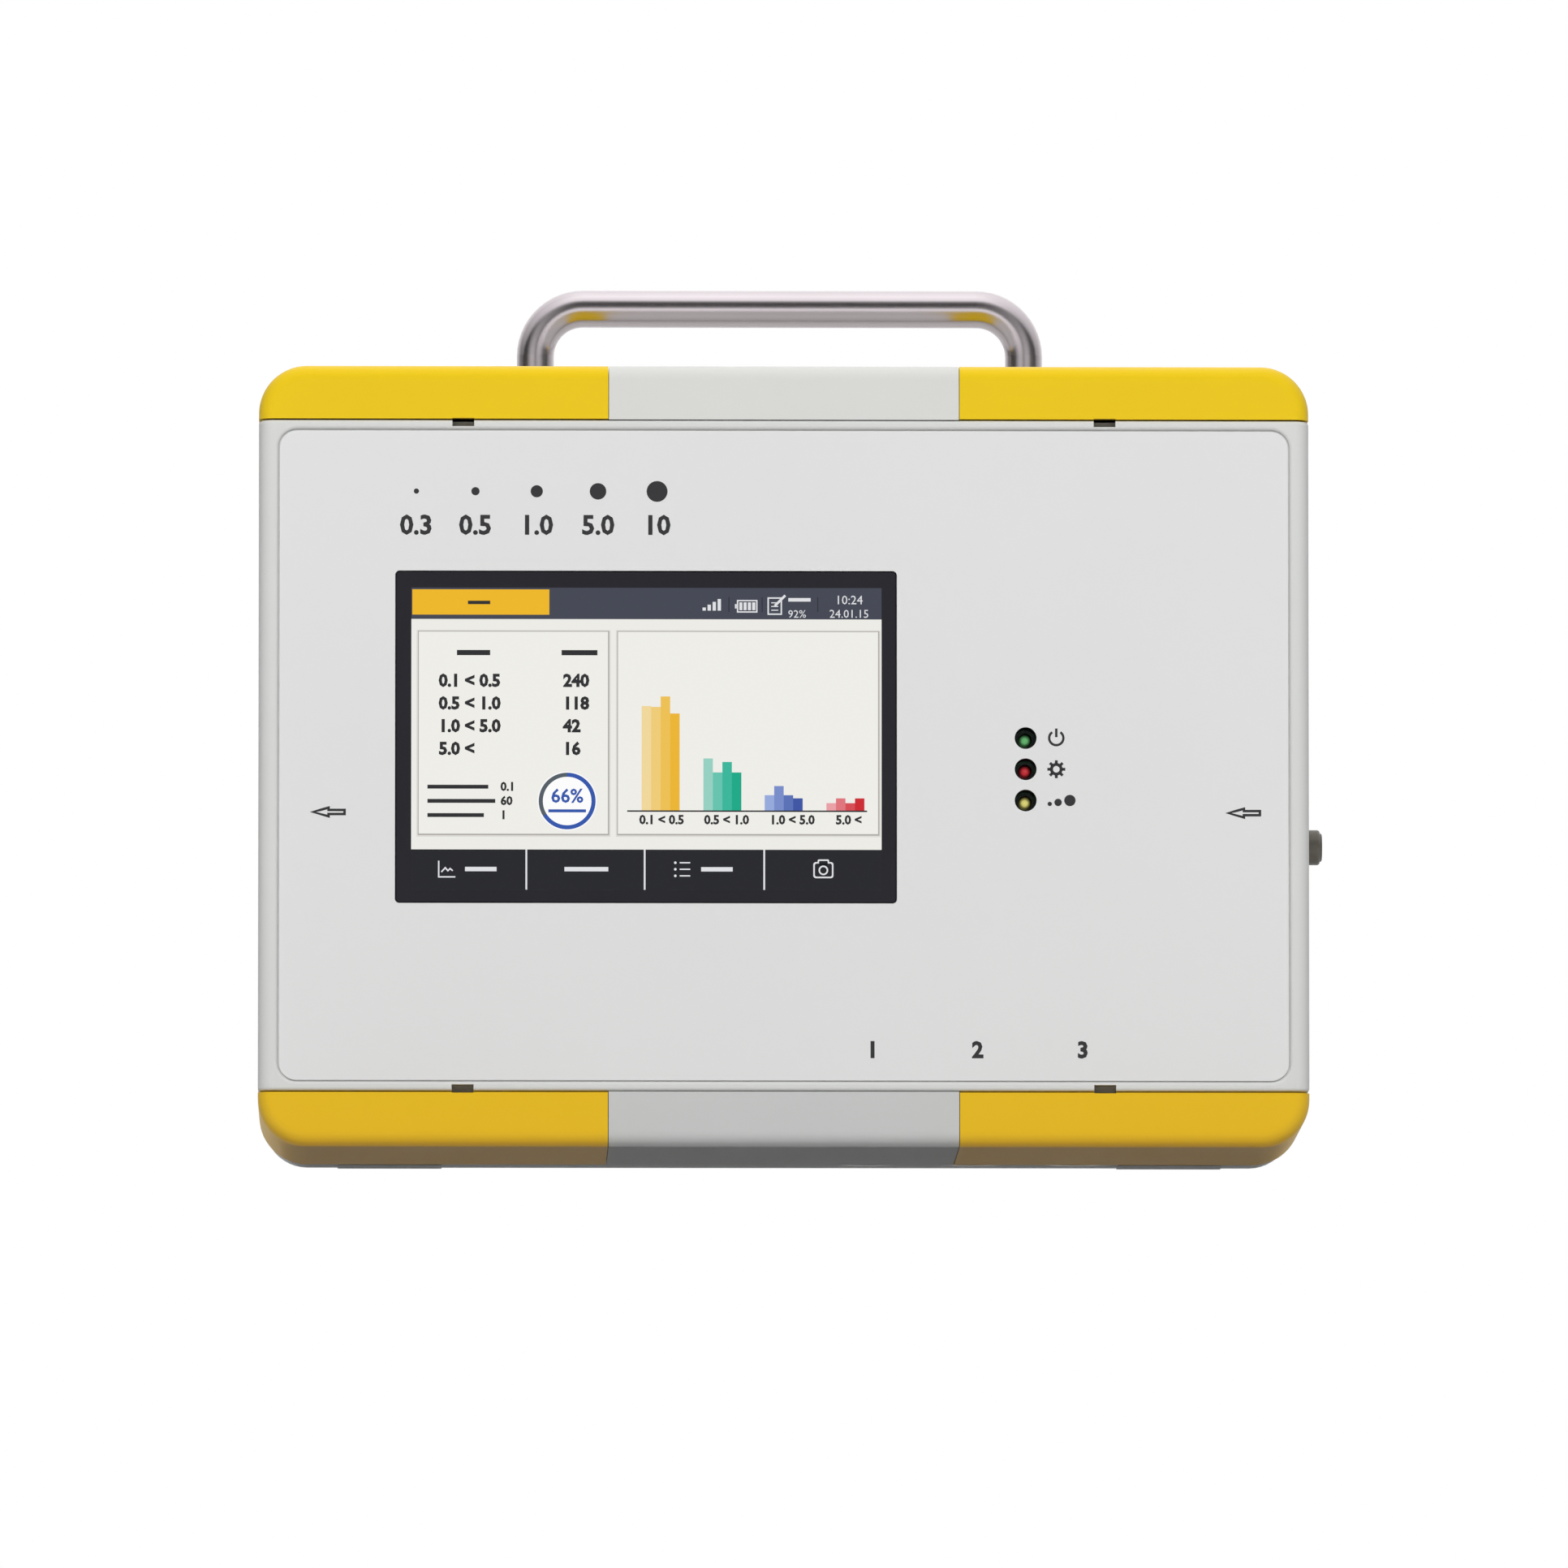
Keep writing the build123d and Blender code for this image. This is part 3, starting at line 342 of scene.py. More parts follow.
# ---------------------------------------------------------------- finishes
def moulded(name, colour, grain_size, grain_depth, roughness=0.5, foot=None):
    """Spark-grained moulding: faint cloudiness, fine grain, and painted shade, a darker second colour towards
    the foot for light that falls off towards the bottom.
    """
    finish = Finish(name, IOR=1.5)
    cloud = finish.noise(0.03, 2)
    grain = finish.noise(grain_size, 2)
    pits = finish.cells(grain_size * 1.6)
    face = finish.shade(linear(colour), cloud * 0.6 + grain * 0.4, 0.035)
    if foot:
        # Painted shade: the colour runs to the darker foot colour as the height falls, from the set height
        # down to the foot.
        height = finish.axes()[2]
        share = finish.clamp(1 - height / FOOT_SHADE_HEIGHT) * (0.9 + cloud * 0.2)
        face = finish.blend(share, face, linear(foot))
    finish.set(Base_Color=face)
    finish.set(Roughness=roughness - 0.05 + cloud * 0.06 + grain * 0.06)
    finish.relief(grain * 0.6 + pits * 0.4, grain_depth, 0.6)
    return finish


def printed_foil(name, colour):
    """Matt polyester foil with a very fine even tooth."""
    finish = Finish(name, IOR=1.48)
    tooth = finish.noise(0.00018, 1)
    cloud = finish.noise(0.06, 2)
    finish.set(Base_Color=finish.shade(linear(colour), cloud * 0.7 + tooth * 0.3, 0.018))
    finish.set(Roughness=0.42 + tooth * 0.1)
    finish.relief(tooth, 0.000004, 0.5)
    return finish


def satin_bar(name, colour, roughness=0.19):
    """Satin metal with short fine scratches and faint cloudy polish."""
    finish = Finish(name, Metallic=1.0)
    scratch = finish.noise(0.0003, 3, (0.12, 1, 1))
    cross = finish.noise(0.0003, 3, (1, 1, 0.12))
    cloud = finish.noise(0.012, 2)
    finish.set(Base_Color=finish.shade(linear(colour), scratch * 0.5 + cloud * 0.5, 0.06))
    finish.set(Roughness=roughness - 0.06 + scratch * 0.07 + cross * 0.05)
    finish.relief(scratch * 0.5 + cross * 0.5, 0.000004, 0.5)
    return finish


def turned(name, colour, axis, centre, pitch, roughness=0.32, metallic=1.0):
    """Turned metal: rings along the axis and on the end faces, from the sine of axial plus radial place."""
    finish = Finish(name, Metallic=metallic)
    places = finish.axes()
    along = places.pop(axis)
    first, second = places[0] - centre[0], places[1] - centre[1]
    radius = (first * first + second * second) ** 0.5
    rings = finish.math("SINE", (along + radius) * (2 * math.pi / pitch))
    stain = finish.noise(0.004, 3)
    finish.set(Base_Color=finish.shade(linear(colour), stain * 0.7 + rings * 0.1 + 0.1, 0.12))
    finish.set(Roughness=roughness + rings * 0.04 + stain * 0.08)
    finish.relief(rings * 0.5 + 0.5, pitch * 0.03, 0.5)
    return finish


def plated(name, colour, roughness=0.25):
    """Plated small parts: bright, with faint handling marks."""
    finish = Finish(name, Metallic=1.0)
    marks = finish.noise(0.0006, 4)
    finish.set(Base_Color=finish.shade(linear(colour), marks, 0.08), Roughness=roughness + marks * 0.12)
    finish.relief(marks, 0.000003, 0.4)
    return finish


def rolled_sheet(name, colour):
    """Rolled sheet metal with long soft streaks along X."""
    finish = Finish(name, Metallic=1.0)
    streak = finish.noise(0.0008, 3, (0.05, 1, 1))
    finish.set(Base_Color=finish.shade(linear(colour), streak, 0.08), Roughness=0.3 + streak * 0.15)
    finish.relief(streak, 0.000003, 0.4)
    return finish


def rubber(name, colour):
    """Dull rubber with a dusty bloom."""
    finish = Finish(name, IOR=1.5)
    bloom = finish.noise(0.004, 3)
    finish.set(Base_Color=finish.shade(linear(colour), bloom, 0.2), Roughness=0.7 + bloom * 0.15)
    finish.relief(finish.noise(0.0004, 2), 0.00001, 0.5)
    return finish


def solder_mask(name):
    """Green circuit board: straight copper tracks under the mask and small plated pads."""
    finish = Finish(name, IOR=1.5)
    across, _, up = finish.axes()
    cell = finish.noise(0.009, 0)
    tracks_x = finish.math("SINE", across * (2 * math.pi / TRACK_PITCH))
    tracks_z = finish.math("SINE", up * (2 * math.pi / TRACK_PITCH))
    choice = finish.math("GREATER_THAN", cell, 0.5)
    wave = tracks_x * choice + tracks_z * (1 - choice)
    track = finish.math("GREATER_THAN", wave, 0.35)
    pad = finish.math("LESS_THAN", finish.cells(PAD_SPACING), 0.13)
    green = finish.blend(track, MASK_GREEN, TRACK_GREEN)
    finish.set(Base_Color=finish.blend(pad, green, PAD_GOLD), Metallic=pad * 0.9)
    finish.set(Roughness=0.35 + cell * 0.08)
    finish.relief(track * 0.6 + pad * 0.4, 0.00003, 0.5)
    return finish


def dark_glass(name, colour):
    """Glass over a black border: dark under a clear polished face with the faintest smear."""
    finish = Finish(name, IOR=1.5, Specular_IOR_Level=0.15, Coat_IOR=1.5, Coat_Roughness=0.03)
    smear = finish.noise(0.02, 3)
    finish.set(Base_Color=finish.shade(linear(colour), smear, 0.05), Roughness=0.16 + smear * 0.06)
    finish.set(Coat_Weight=0.06 + smear * 0.06)
    finish.relief(finish.noise(0.03, 1), 0.000004, 0.2)
    return finish


def tinted_lens(name, colour, centre, spot=0.0007, fade=0.0008, low=0.00015):
    """Tinted light: its chip glows low in the middle of the lens, and the skin darkens to the rim."""
    finish = Finish(name, IOR=1.5, Subsurface_Weight=0.1, Subsurface_Scale=0.001)
    across, _, up = finish.axes()
    side, rise = across - centre[0] + low, up - centre[1] + low * 2
    radius = (side * side + rise * rise) ** 0.5
    ripple = finish.noise(0.0006, 2) * 0.0002
    glow = finish.math("MAXIMUM", 1 - finish.math("MAXIMUM", radius + ripple - spot, 0) / fade, 0) ** 1.5
    tint = linear(colour)
    deep = tuple(c * 0.12 for c in tint[:3]) + (1.0,)
    finish.set(Base_Color=finish.blend(glow, deep, tint), Roughness=0.3 - glow * 0.12)
    finish.set(Emission_Color=finish.blend(glow, (0.0, 0.0, 0.0, 1.0), tint))
    finish.shader.inputs["Emission Strength"].default_value = 0.6
    return finish


def sintered(name, colour):
    """Pressed metal grains, each a small ball, with painted shade that darkens the colour towards the gaps
    between them.
    """
    finish = Finish(name, Metallic=1.0)
    grains = finish.cells(0.00035)
    finish.set(Base_Color=finish.shade(linear(colour), 1 - grains, 0.35), Roughness=0.45 + grains * 0.2)
    finish.relief(1 - grains, 0.0001, 0.8)
    return finish


def clear_tube(name, colour):
    """Milky silicone hose."""
    finish = Finish(name, IOR=1.42, Subsurface_Weight=0.4, Subsurface_Scale=0.002)
    cloud = finish.noise(0.006, 3)
    finish.set(Base_Color=finish.shade(linear(colour), cloud, 0.06), Roughness=0.35 + cloud * 0.1)
    finish.relief(cloud, 0.00002, 0.4)
    return finish


def polished(name, colour, **constants):
    """Polished optics with a hint of coating colour."""
    finish = Finish(name, **constants)
    coating = finish.noise(0.008, 1)
    finish.set(Base_Color=finish.shade(linear(colour), coating, 0.03), Roughness=0.02 + coating * 0.03)
    finish.relief(coating, 0.000001, 0.2)
    return finish


# ---------------------------------------------------------------- pieces
def make_piece(name, points, faces, slot, smooth=False):
    """Puts worked-out points and faces into a mesh at the origin that rides on the case."""
    mesh = bpy.data.meshes.new(name)
    mesh.from_pydata(np.asarray(points).tolist(), [], [list(map(int, face)) for face in faces])
    mesh.polygons.foreach_set("use_smooth", np.full(len(mesh.polygons), smooth))
    mesh.update()
    piece = bpy.data.objects.new(name, mesh)
    bpy.context.scene.collection.objects.link(piece)
    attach(piece, "case")
    return piece


def grid_faces(rows, columns, wrap=False):
    """Quads of a grid of points, numbered row by row, with each row closed round where asked."""
    i = np.arange(rows - 1)[:, None]
    j = np.arange(columns if wrap else columns - 1)[None, :]
    after = (j + 1) % columns
    corners = (i * columns + j, (i + 1) * columns + j, (i + 1) * columns + after, i * columns + after)
    return np.stack([np.broadcast_to(c, (i.size, j.size)).ravel() for c in corners], axis=1)


class Drawing:
    """Flat fields of colour on a plane that faces the front, laid over each other by level."""

    def __init__(self, left, low, plane, lift):
        self.origin = np.array([left, low])
        self.plane = plane
        self.lift = lift
        self.points = []
        self.faces = []
        self.colours = []
        self.count = 0

    def add(self, points, faces, colour, level):
        """Adds faces over points given in millimetres from the drawing's lower left corner."""
        flat = np.asarray(points, float) * MM + self.origin
        depth = np.full(len(flat), self.plane - self.lift * level)
        self.points.append(np.column_stack([flat[:, 0], depth, flat[:, 1]]))
        for face in faces:
            self.faces.append([int(corner) + self.count for corner in face])
            self.colours.append(colour)
        self.count += len(flat)

    def bar(self, left, right, low, high, colour, level=1):
        self.add([(left, low), (right, low), (right, high), (left, high)], [(0, 1, 2, 3)], colour, level)

    def card(self, left, right, low, high, radius, colour, level=1):
        """Round-cornered field: a quarter circle at each corner, joined by straight sides."""
        turn = np.linspace(0, np.pi / 2, CORNER_POINTS)
        corners = ((right - radius, high - radius, 0), (left + radius, high - radius, 1),
                   (left + radius, low + radius, 2), (right - radius, low + radius, 3))
        rounds = [np.column_stack([x + radius * np.cos(turn + quarter * np.pi / 2),
                                   z + radius * np.sin(turn + quarter * np.pi / 2)])
                  for x, z, quarter in corners]
        outline = np.concatenate(rounds)
        self.add(outline, [range(len(outline))], colour, level)

    def ring(self, x, z, inner, outer, start, end, colour, level=1):
        """Part of a ring from a start to an end angle in degrees, anticlockwise from the right."""
        steps = int(abs(end - start) / RING_STEP)
        turn = np.radians(np.linspace(start, end, steps + 1))
        circle = np.column_stack([np.cos(turn), np.sin(turn)])
        points = np.concatenate([circle * inner, circle * outer]) + (x, z)
        i = np.arange(steps)
        faces = np.column_stack([i, i + steps + 1, i + steps + 2, i + 1])
        self.add(points, faces, colour, level)

    def dot(self, x, z, radius, colour, level=1):
        turn = np.linspace(0, 2 * np.pi, DOT_SIDES, endpoint=False)
        outline = np.column_stack([x + radius * np.cos(turn), z + radius * np.sin(turn)])
        self.add(outline, [range(len(outline))], colour, level)

    def line(self, corners, width, colour, level=1):
        """Open stroke: each corner is moved to both sides along the mean of its neighbours' normals."""
        route = np.asarray(corners, float)
        run = np.diff(route, axis=0)
        run /= np.linalg.norm(run, axis=1)[:, None]
        normal = np.column_stack([-run[:, 1], run[:, 0]])
        mean = np.concatenate([normal[:1], normal[:-1] + normal[1:], normal[-1:]])
        mean /= np.linalg.norm(mean, axis=1)[:, None]
        reach = np.ones(len(route))
        reach[1:-1] = 1 / np.maximum(0.4, np.sum(mean[1:-1] * normal[1:], axis=1))
        side = mean * (reach * width / 2)[:, None]
        points = np.concatenate([route - side, route + side])
        i = np.arange(len(route) - 1)
        faces = np.column_stack([i, i + 1, i + len(route) + 1, i + len(route)])
        self.add(points, faces, colour, level)

    def outline(self, corners, width, colour, level=1):
        """Closed stroke whose ends meet on the middle of its first side."""
        first, second = np.asarray(corners[0], float), np.asarray(corners[1], float)
        middle = (first + second) / 2
        self.line([middle, *corners[1:], corners[0], middle], width, colour, level)

    def number(self, text, x, z, height, colour, level=1, align="LEFT", weight=0.02):
        """Plain figures of the given height, from the built-in letter shapes made a little bolder."""
        curve = bpy.data.curves.new("figures", "FONT")
        curve.body = text
        curve.size = height / FIGURE_SHARE
        curve.offset = weight * curve.size
        curve.align_x = align
        curve.resolution_u = 2
        carrier = bpy.data.objects.new("figures", curve)
        mesh = bpy.data.meshes.new_from_object(carrier)
        places = np.zeros(len(mesh.vertices) * 3)
        mesh.vertices.foreach_get("co", places)
        places = places.reshape(-1, 3)[:, :2] + (x, z)
        faces = [tuple(polygon.vertices) for polygon in mesh.polygons]
        self.add(places, faces, colour, level)
        bpy.data.objects.remove(carrier)
        bpy.data.curves.remove(curve)
        bpy.data.meshes.remove(mesh)

    def frame(self, left, right, low, high, width, colour, level=1):
        """Rectangle drawn as a stroke."""
        self.outline([(left, low), (right, low), (right, high), (left, high)], width, colour, level)

    def finish(self, name, slot):
        """Makes the mesh, with each face's colour kept on the surface."""
        piece = make_piece(name, np.concatenate(self.points), self.faces, slot=slot)
        mesh = piece.data
        tone = mesh.attributes.new("ink", "FLOAT_COLOR", "CORNER")
        sizes = np.array([len(face) for face in self.faces])
        values = np.repeat(np.array(self.colours, float), sizes, axis=0)
        tone.data.foreach_set("color", values.ravel())
        return piece


def chart(red, green, blue):
    """Linear colour from chart steps."""
    return linear((red / 255, green / 255, blue / 255))


WHITE = chart(241, 240, 235)
PAPER = chart(239, 238, 233)
HAZE = chart(222, 220, 214)
EDGE = chart(176, 172, 166)
SLATE = chart(63, 67, 80)
GROOVE = chart(42, 44, 53)
NIGHT = chart(24, 25, 31)
TEXT = chart(38, 38, 40)
PALE = chart(226, 227, 230)
AMBER = chart(240, 184, 26)
BLUE = chart(44, 84, 172)
STONE = chart(82, 92, 100)
PURE = chart(255, 255, 255)


def draw_title(page, width, low, high):
    """Title bar: tab, signal, battery, note and clock figures."""
    page.bar(0, width, low, high, SLATE, 2)
    page.bar(0.2, 31.5, low + 1.0, high - 0.4, AMBER, 3)
    page.bar(12.9, 18.0, low + 3.4, low + 4.2, TEXT, 4)
    for x in (72.4, 80.0, 92.7):
        page.bar(x, x + 0.25, low + 1.7, low + 5.1, GROOVE, 3)
    for k in range(4):
        left = 66.5 + k * 1.15
        page.bar(left, left + 0.75, low + 2.0, low + 2.7 + k * 0.65, PALE, 3)
    page.frame(74.5, 78.9, low + 1.7, low + 4.3, 0.3, PALE, 3)
    page.bar(73.9, 74.3, low + 2.5, low + 3.5, PALE, 3)
    for k in range(4):
        left = 74.9 + k * 0.98
        page.bar(left, left + 0.7, low + 2.1, low + 3.9, PALE, 3)
    page.frame(81.5, 84.5, low + 1.2, low + 4.9, 0.32, PALE, 3)
    for k in range(3):
        page.bar(82.2, 83.8, low + 2.0 + k * 0.85, low + 2.22 + k * 0.85, PALE, 3)
    page.line([(83.0, low + 3.1), (85.4, low + 5.5)], 0.55, PALE, 4)
    page.bar(86.1, 91.2, low + 4.1, low + 4.9, PALE, 3)
    page.number("92%", 86.0, low + 0.4, 1.75, PALE, 3, weight=0)
    page.number("10:24", 100.0, low + 3.5, 2.0, PALE, 3, "CENTER", 0)
    page.number("24.01.15", 100.0, low + 0.4, 1.85, PALE, 3, "CENTER", 0)


def draw_card(page, left, right, low, high):
    """Paper card with a soft edge: pale haze, darker line, then the face."""
    page.bar(left - 0.5, right + 0.6, low - 0.7, high + 0.4, HAZE, 2)
    page.bar(left - 0.2, right + 0.3, low - 0.35, high + 0.2, EDGE, 3)
    page.bar(left, right, low, high, WHITE, 4)


def draw_table(page):
    """Left card: size classes with their counts, three short lines and a ring."""
    draw_card(page, 1.7, 44.9, 12.9, 59.2)
    page.bar(10.4, 18.0, 53.8, 55.0, TEXT, 5)
    page.bar(34.3, 42.5, 53.8, 55.0, TEXT, 5)
    rows = (("0.1 < 0.5", "240"), ("0.5 < 1.0", "118"), ("1.0 < 5.0", "42"), ("5.0 <", "16"))
    for k, (size, count) in enumerate(rows):
        page.number(size, 6.3, 46.7 - k * 5.2, 2.75, TEXT, 5, weight=0.045)
        page.number(count, 34.7, 46.7 - k * 5.2, 2.75, TEXT, 5, weight=0.045)
    for k, (length, figures) in enumerate(((13.9, "0.1"), (15.5, "60"), (12.9, "1"))):
        low = 22.9 - k * 3.25
        page.bar(3.7, 3.7 + length, low + 0.3, low + 1.2, TEXT, 5)
        page.number(figures, 20.4, low - 0.1, 1.9, TEXT, 5, weight=0.04)
    page.dot(35.6, 20.4, 6.8, PURE, 5)
    page.ring(35.6, 20.4, 5.55, 6.5, 90, 90 - 238, BLUE, 6)
    page.ring(35.6, 20.4, 5.55, 6.5, 90, 212, STONE, 6)
    page.number("66%", 35.6, 20.1, 3.1, BLUE, 6, "CENTER", 0.02)
    page.bar(31.3, 39.9, 17.8, 18.5, BLUE, 6)


def draw_chart(page):
    """Right card: four groups of four bars, pale to full, on a base line."""
    draw_card(page, 47.2, 106.6, 12.9, 59.2)
    base = 18.3
    groups = (
        (52.6, (243, 217, 155), (238, 182, 42), (23.9, 23.7, 26.1, 22.2)),
        (66.7, (150, 210, 195), (0, 170, 135), (11.9, 8.7, 11.1, 8.7)),
        (80.7, (150, 170, 222), (56, 82, 165), (3.5, 5.6, 3.5, 2.8)),
        (94.8, (236, 160, 166), (206, 28, 38), (1.7, 2.8, 1.7, 2.8)),
    )
    for left, pale, full, heights in groups:
        for k, height in enumerate(heights):
            tone = [a + (b - a) * k / 3 for a, b in zip(pale, full)]
            start = left + k * 2.17
            page.bar(start, start + 2.17, base, base + height, chart(*tone), 5)
    page.bar(49.3, 104.1, base - 0.35, base, TEXT, 6)
    labels = ((57.2, "0.1 < 0.5"), (72.0, "0.5 < 1.0"), (87.0, "1.0 < 5.0"), (99.9, "5.0 <"))
    for x, figures in labels:
        page.number(figures, x, 15.2, 2.0, TEXT, 5, "CENTER", 0.04)


def draw_buttons(page, width, high):
    """Four buttons: line chart, plain, list and camera."""
    page.bar(0, width, 0, high, NIGHT, 2)
    for x in (26.3, 53.3, 80.6):
        page.bar(x - 0.2, x + 0.2, 0.1, high, PALE, 3)
    page.line([(6.3, 6.7), (6.3, 3.0), (10.1, 3.0)], 0.32, PALE, 3)
    page.line([(6.9, 4.1), (7.8, 5.1), (8.4, 4.4), (8.9, 4.9), (9.5, 4.4)], 0.32, PALE, 3)
    page.bar(12.3, 19.5, 4.3, 5.3, PALE, 3)
    page.bar(35.0, 45.0, 4.3, 5.3, PALE, 3)
    for k in range(3):
        page.dot(60.3, 6.3 - k * 1.5, 0.3, PALE, 3)
        page.bar(61.3, 63.7, 6.15 - k * 1.5, 6.45 - k * 1.5, PALE, 3)
    page.bar(66.2, 73.4, 4.3, 5.3, PALE, 3)
    page.card(91.8, 96.4, 2.8, 6.5, 0.6, PALE, 3)
    page.card(92.8, 95.4, 6.2, 7.1, 0.3, PALE, 3)
    page.card(92.15, 96.05, 3.15, 6.15, 0.4, NIGHT, 4)
    page.card(93.1, 95.1, 5.8, 6.75, 0.2, NIGHT, 4)
    page.ring(94.1, 4.6, 0.75, 1.1, 0, 360, PALE, 5)


def draw_arrow(page, x, z, ink):
    """Thin outlined arrow that points left, 7.8 mm long."""
    corners = [(-3.5, 0), (0.05, 1.0), (0.05, 0.47), (3.7, 0.47), (3.7, -0.47), (0.05, -0.47), (0.05, -1.0)]
    page.outline([(x + a, z + b) for a, b in corners], 0.58, ink)


def draw_symbols(page, x, heights, ink):
    """Beside the lights: a power sign, a cog and three rising dots."""
    power, service, count = heights
    page.ring(x, power, 1.35, 1.9, 125, 415, ink)
    page.bar(x - 0.28, x + 0.28, power + 0.2, power + 2.2, ink)
    page.ring(x, service, 0.75, 1.45, 0, 360, ink)
    for k in range(8):
        turn = math.radians(k * 45)
        reach = np.array([math.cos(turn), math.sin(turn)])
        page.line([reach * 1.3 + (x, service), reach * 2.05 + (x, service)], 0.65, ink)
    for place, radius in ((-1.5, 0.5), (0.4, 0.85), (3.1, 1.3)):
        page.dot(x + place, count + radius - 1.3, radius, ink)


def thread_points(x, y, low, radius, pitch, depth, turns):
    """Helical ridge on a bore.

    The angle runs round and the height rises a pitch each turn. The section is a rounded tooth: the radius
    minus the depth times half of one plus the cosine of the tooth's own angle. Both ends taper out.
    """
    sweep_turn = np.linspace(0, 2 * np.pi * turns, int(36 * turns) + 1)[:, None]
    tooth = np.linspace(-np.pi, np.pi, 7)[None, :]
    taper = np.clip(np.minimum(sweep_turn, sweep_turn[-1] - sweep_turn) / (np.pi / 2), 0, 1)
    reach = radius - depth * taper * (1 + np.cos(tooth)) / 2
    height = low + pitch * sweep_turn / (2 * np.pi) + pitch * 0.5 * tooth / (2 * np.pi)
    points = np.stack([x + reach * np.cos(sweep_turn), y + reach * np.sin(sweep_turn),
                       np.broadcast_to(height, reach.shape)], axis=-1)
    return points.reshape(-1, 3), grid_faces(len(sweep_turn), tooth.size)[:, ::-1]


def pin_points(x, y, low, radius, length):
    """Turned pin along Z: a circle carried along a profile that rounds off to a point at its lower end."""
    turn = np.linspace(0, 2 * np.pi, 16, endpoint=False)[None, :]
    lift = np.array([0, 0.06, 0.2, 0.5, 1.0, length / radius])[:, None] * radius
    wide = radius * np.sqrt(np.clip(1 - (1 - np.clip(lift / radius, 0, 1)) ** 2, 0, 1))
    points = np.stack([x + wide * np.cos(turn), y + wide * np.sin(turn),
                       np.broadcast_to(low + lift, (lift.size, turn.size))], axis=-1)
    return points.reshape(-1, 3), grid_faces(lift.size, turn.size, wrap=True)[:, ::-1]


def gather(parts):
    """One set of points and faces from several."""
    points, faces, count = [], [], 0
    for some_points, some_faces in parts:
        points.append(some_points)
        faces.append(np.asarray(some_faces) + count)
        count += len(some_points)
    return np.concatenate(points), np.concatenate(faces)


def middle_of(node):
    """Middle of a CAD node's box."""
    low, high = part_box(node)
    return [(a + b) / 2 for a, b in zip(low, high)]


# ---------------------------------------------------------------- operators
class COUNTER_OT_case(bpy.types.Operator):
    """Finish the tub, the lid, the covers and the front foil"""
    bl_idname = "counter.case"
    bl_label = "Case and foil"

    def execute(self, context):
        look = context.scene.counter_case
        grain = (look.grain_size, look.grain_depth)
        # The tub and the covers run darker towards the foot: painted shade.
        moulded("case_moulding", look.case_colour, *grain, foot=look.case_foot_shade).on("base")
        moulded("lid_moulding", look.lid_colour, *grain).on("lid")
        covers = [name for name in NODES if name.startswith("cover_")]
        moulded("cover_moulding", look.cover_colour, *grain, 0.46, look.cover_foot_shade).on(*covers)
        printed_foil("front_foil", look.foil_colour).on("front_overlay")
        rubber("seal_rubber", (0.16, 0.16, 0.16)).on("lid_gasket", "inlet_seal", "pump_mounts")
        return {"FINISHED"}


class COUNTER_OT_metal(bpy.types.Operator):
    """Finish the handle, the fittings, the connectors and the screws"""
    bl_idname = "counter.metal"
    bl_label = "Handle and fittings"

    def execute(self, context):
        look = context.scene.counter_metal
        satin_bar("satin_steel", look.steel_colour).on("handle")
        port = middle_of("inlet_fitting")[1:]
        pitch = look.turning_pitch
        turned("dark_fitting", look.dark_colour, 0, port, pitch, 0.34, 0.3).on("inlet_fitting")
        turned("dark_collet", look.dark_colour, 0, port, pitch, 0.4, 0.3).on("inlet_collet")
        turned("brass_port", look.brass_colour, 0, port, pitch).on("inlet_nut", "outlet_nut", "outlet_vent")
        sintered("sintered_brass", look.brass_colour).on("outlet_disc")
        for name in CONNECTORS:
            centre = middle_of(name)[:2]
            turned(name + "_shell", NICKEL, 2, centre, pitch, 0.28).on(name)
        plated("zinc_plate", (0.78, 0.79, 0.8)).on(
            "lid_screws", "front_screws", "handle_screws", "handle_washers", "board_screws",
            "sensor_screws", "pump_motor", "inlet_nozzle", "exit_nozzle")
        plated("brass_small", look.brass_colour).on("connector_nuts", "board_standoffs", "laser_module")
        rolled_sheet("sheet_metal", (0.76, 0.77, 0.78)).on("lcd_panel", "battery_tray", "pump_bracket")
        return {"FINISHED"}


class COUNTER_OT_inside(bpy.types.Operator):
    """Finish the boards, the optics, the pump and the hoses"""
    bl_idname = "counter.inside"
    bl_label = "Inner pieces"

    def execute(self, context):
        solder_mask("green_board").on("display_board", "led_board", "main_board", "detector_board")
        black = ("connector_inserts", "led_shroud", "pump_head")
        moulded("black_moulding", (0.13, 0.13, 0.135), 0.0004, 0.00001, 0.45).on(*black)
        satin_bar("black_anodised", (0.16, 0.16, 0.17), 0.42).on("sensor_housing", "beam_trap")
        moulded("shrink_wrap", (0.1, 0.25, 0.6), 0.003, 0.00002, 0.25).on("battery_pack")
        moulded("filter_shell", (0.9, 0.9, 0.88), 0.0006, 0.00001, 0.4).on("air_filter")
        moulded("flat_film", (0.86, 0.86, 0.84), 0.0012, 0.00001, 0.35).on("display_ribbon")
        clear_tube("milky_hose", (0.82, 0.85, 0.85)).on(
            "inlet_hose", "sample_hose", "pump_hose", "exhaust_hose")
        polished("beam_glass", (0.95, 0.98, 0.98), Transmission_Weight=0.9, IOR=1.5).on("beam_lens")
        polished("mirror_face", (0.95, 0.95, 0.96), Metallic=1.0).on("collecting_mirror")
        return {"FINISHED"}


class COUNTER_OT_lights(bpy.types.Operator):
    """Finish the display glass and the three status lights"""
    bl_idname = "counter.lights"
    bl_label = "Glass and lights"

    def execute(self, context):
        look = context.scene.counter_front
        dark_glass("display_glass", look.glass_colour).on("touch_glass")
        for name, tint in LIGHT_TINTS.items():
            across, _, up = middle_of(name)
            tinted_lens(name + "_lens", [step / 255 for step in tint], (across, up)).on(name)
        return {"FINISHED"}


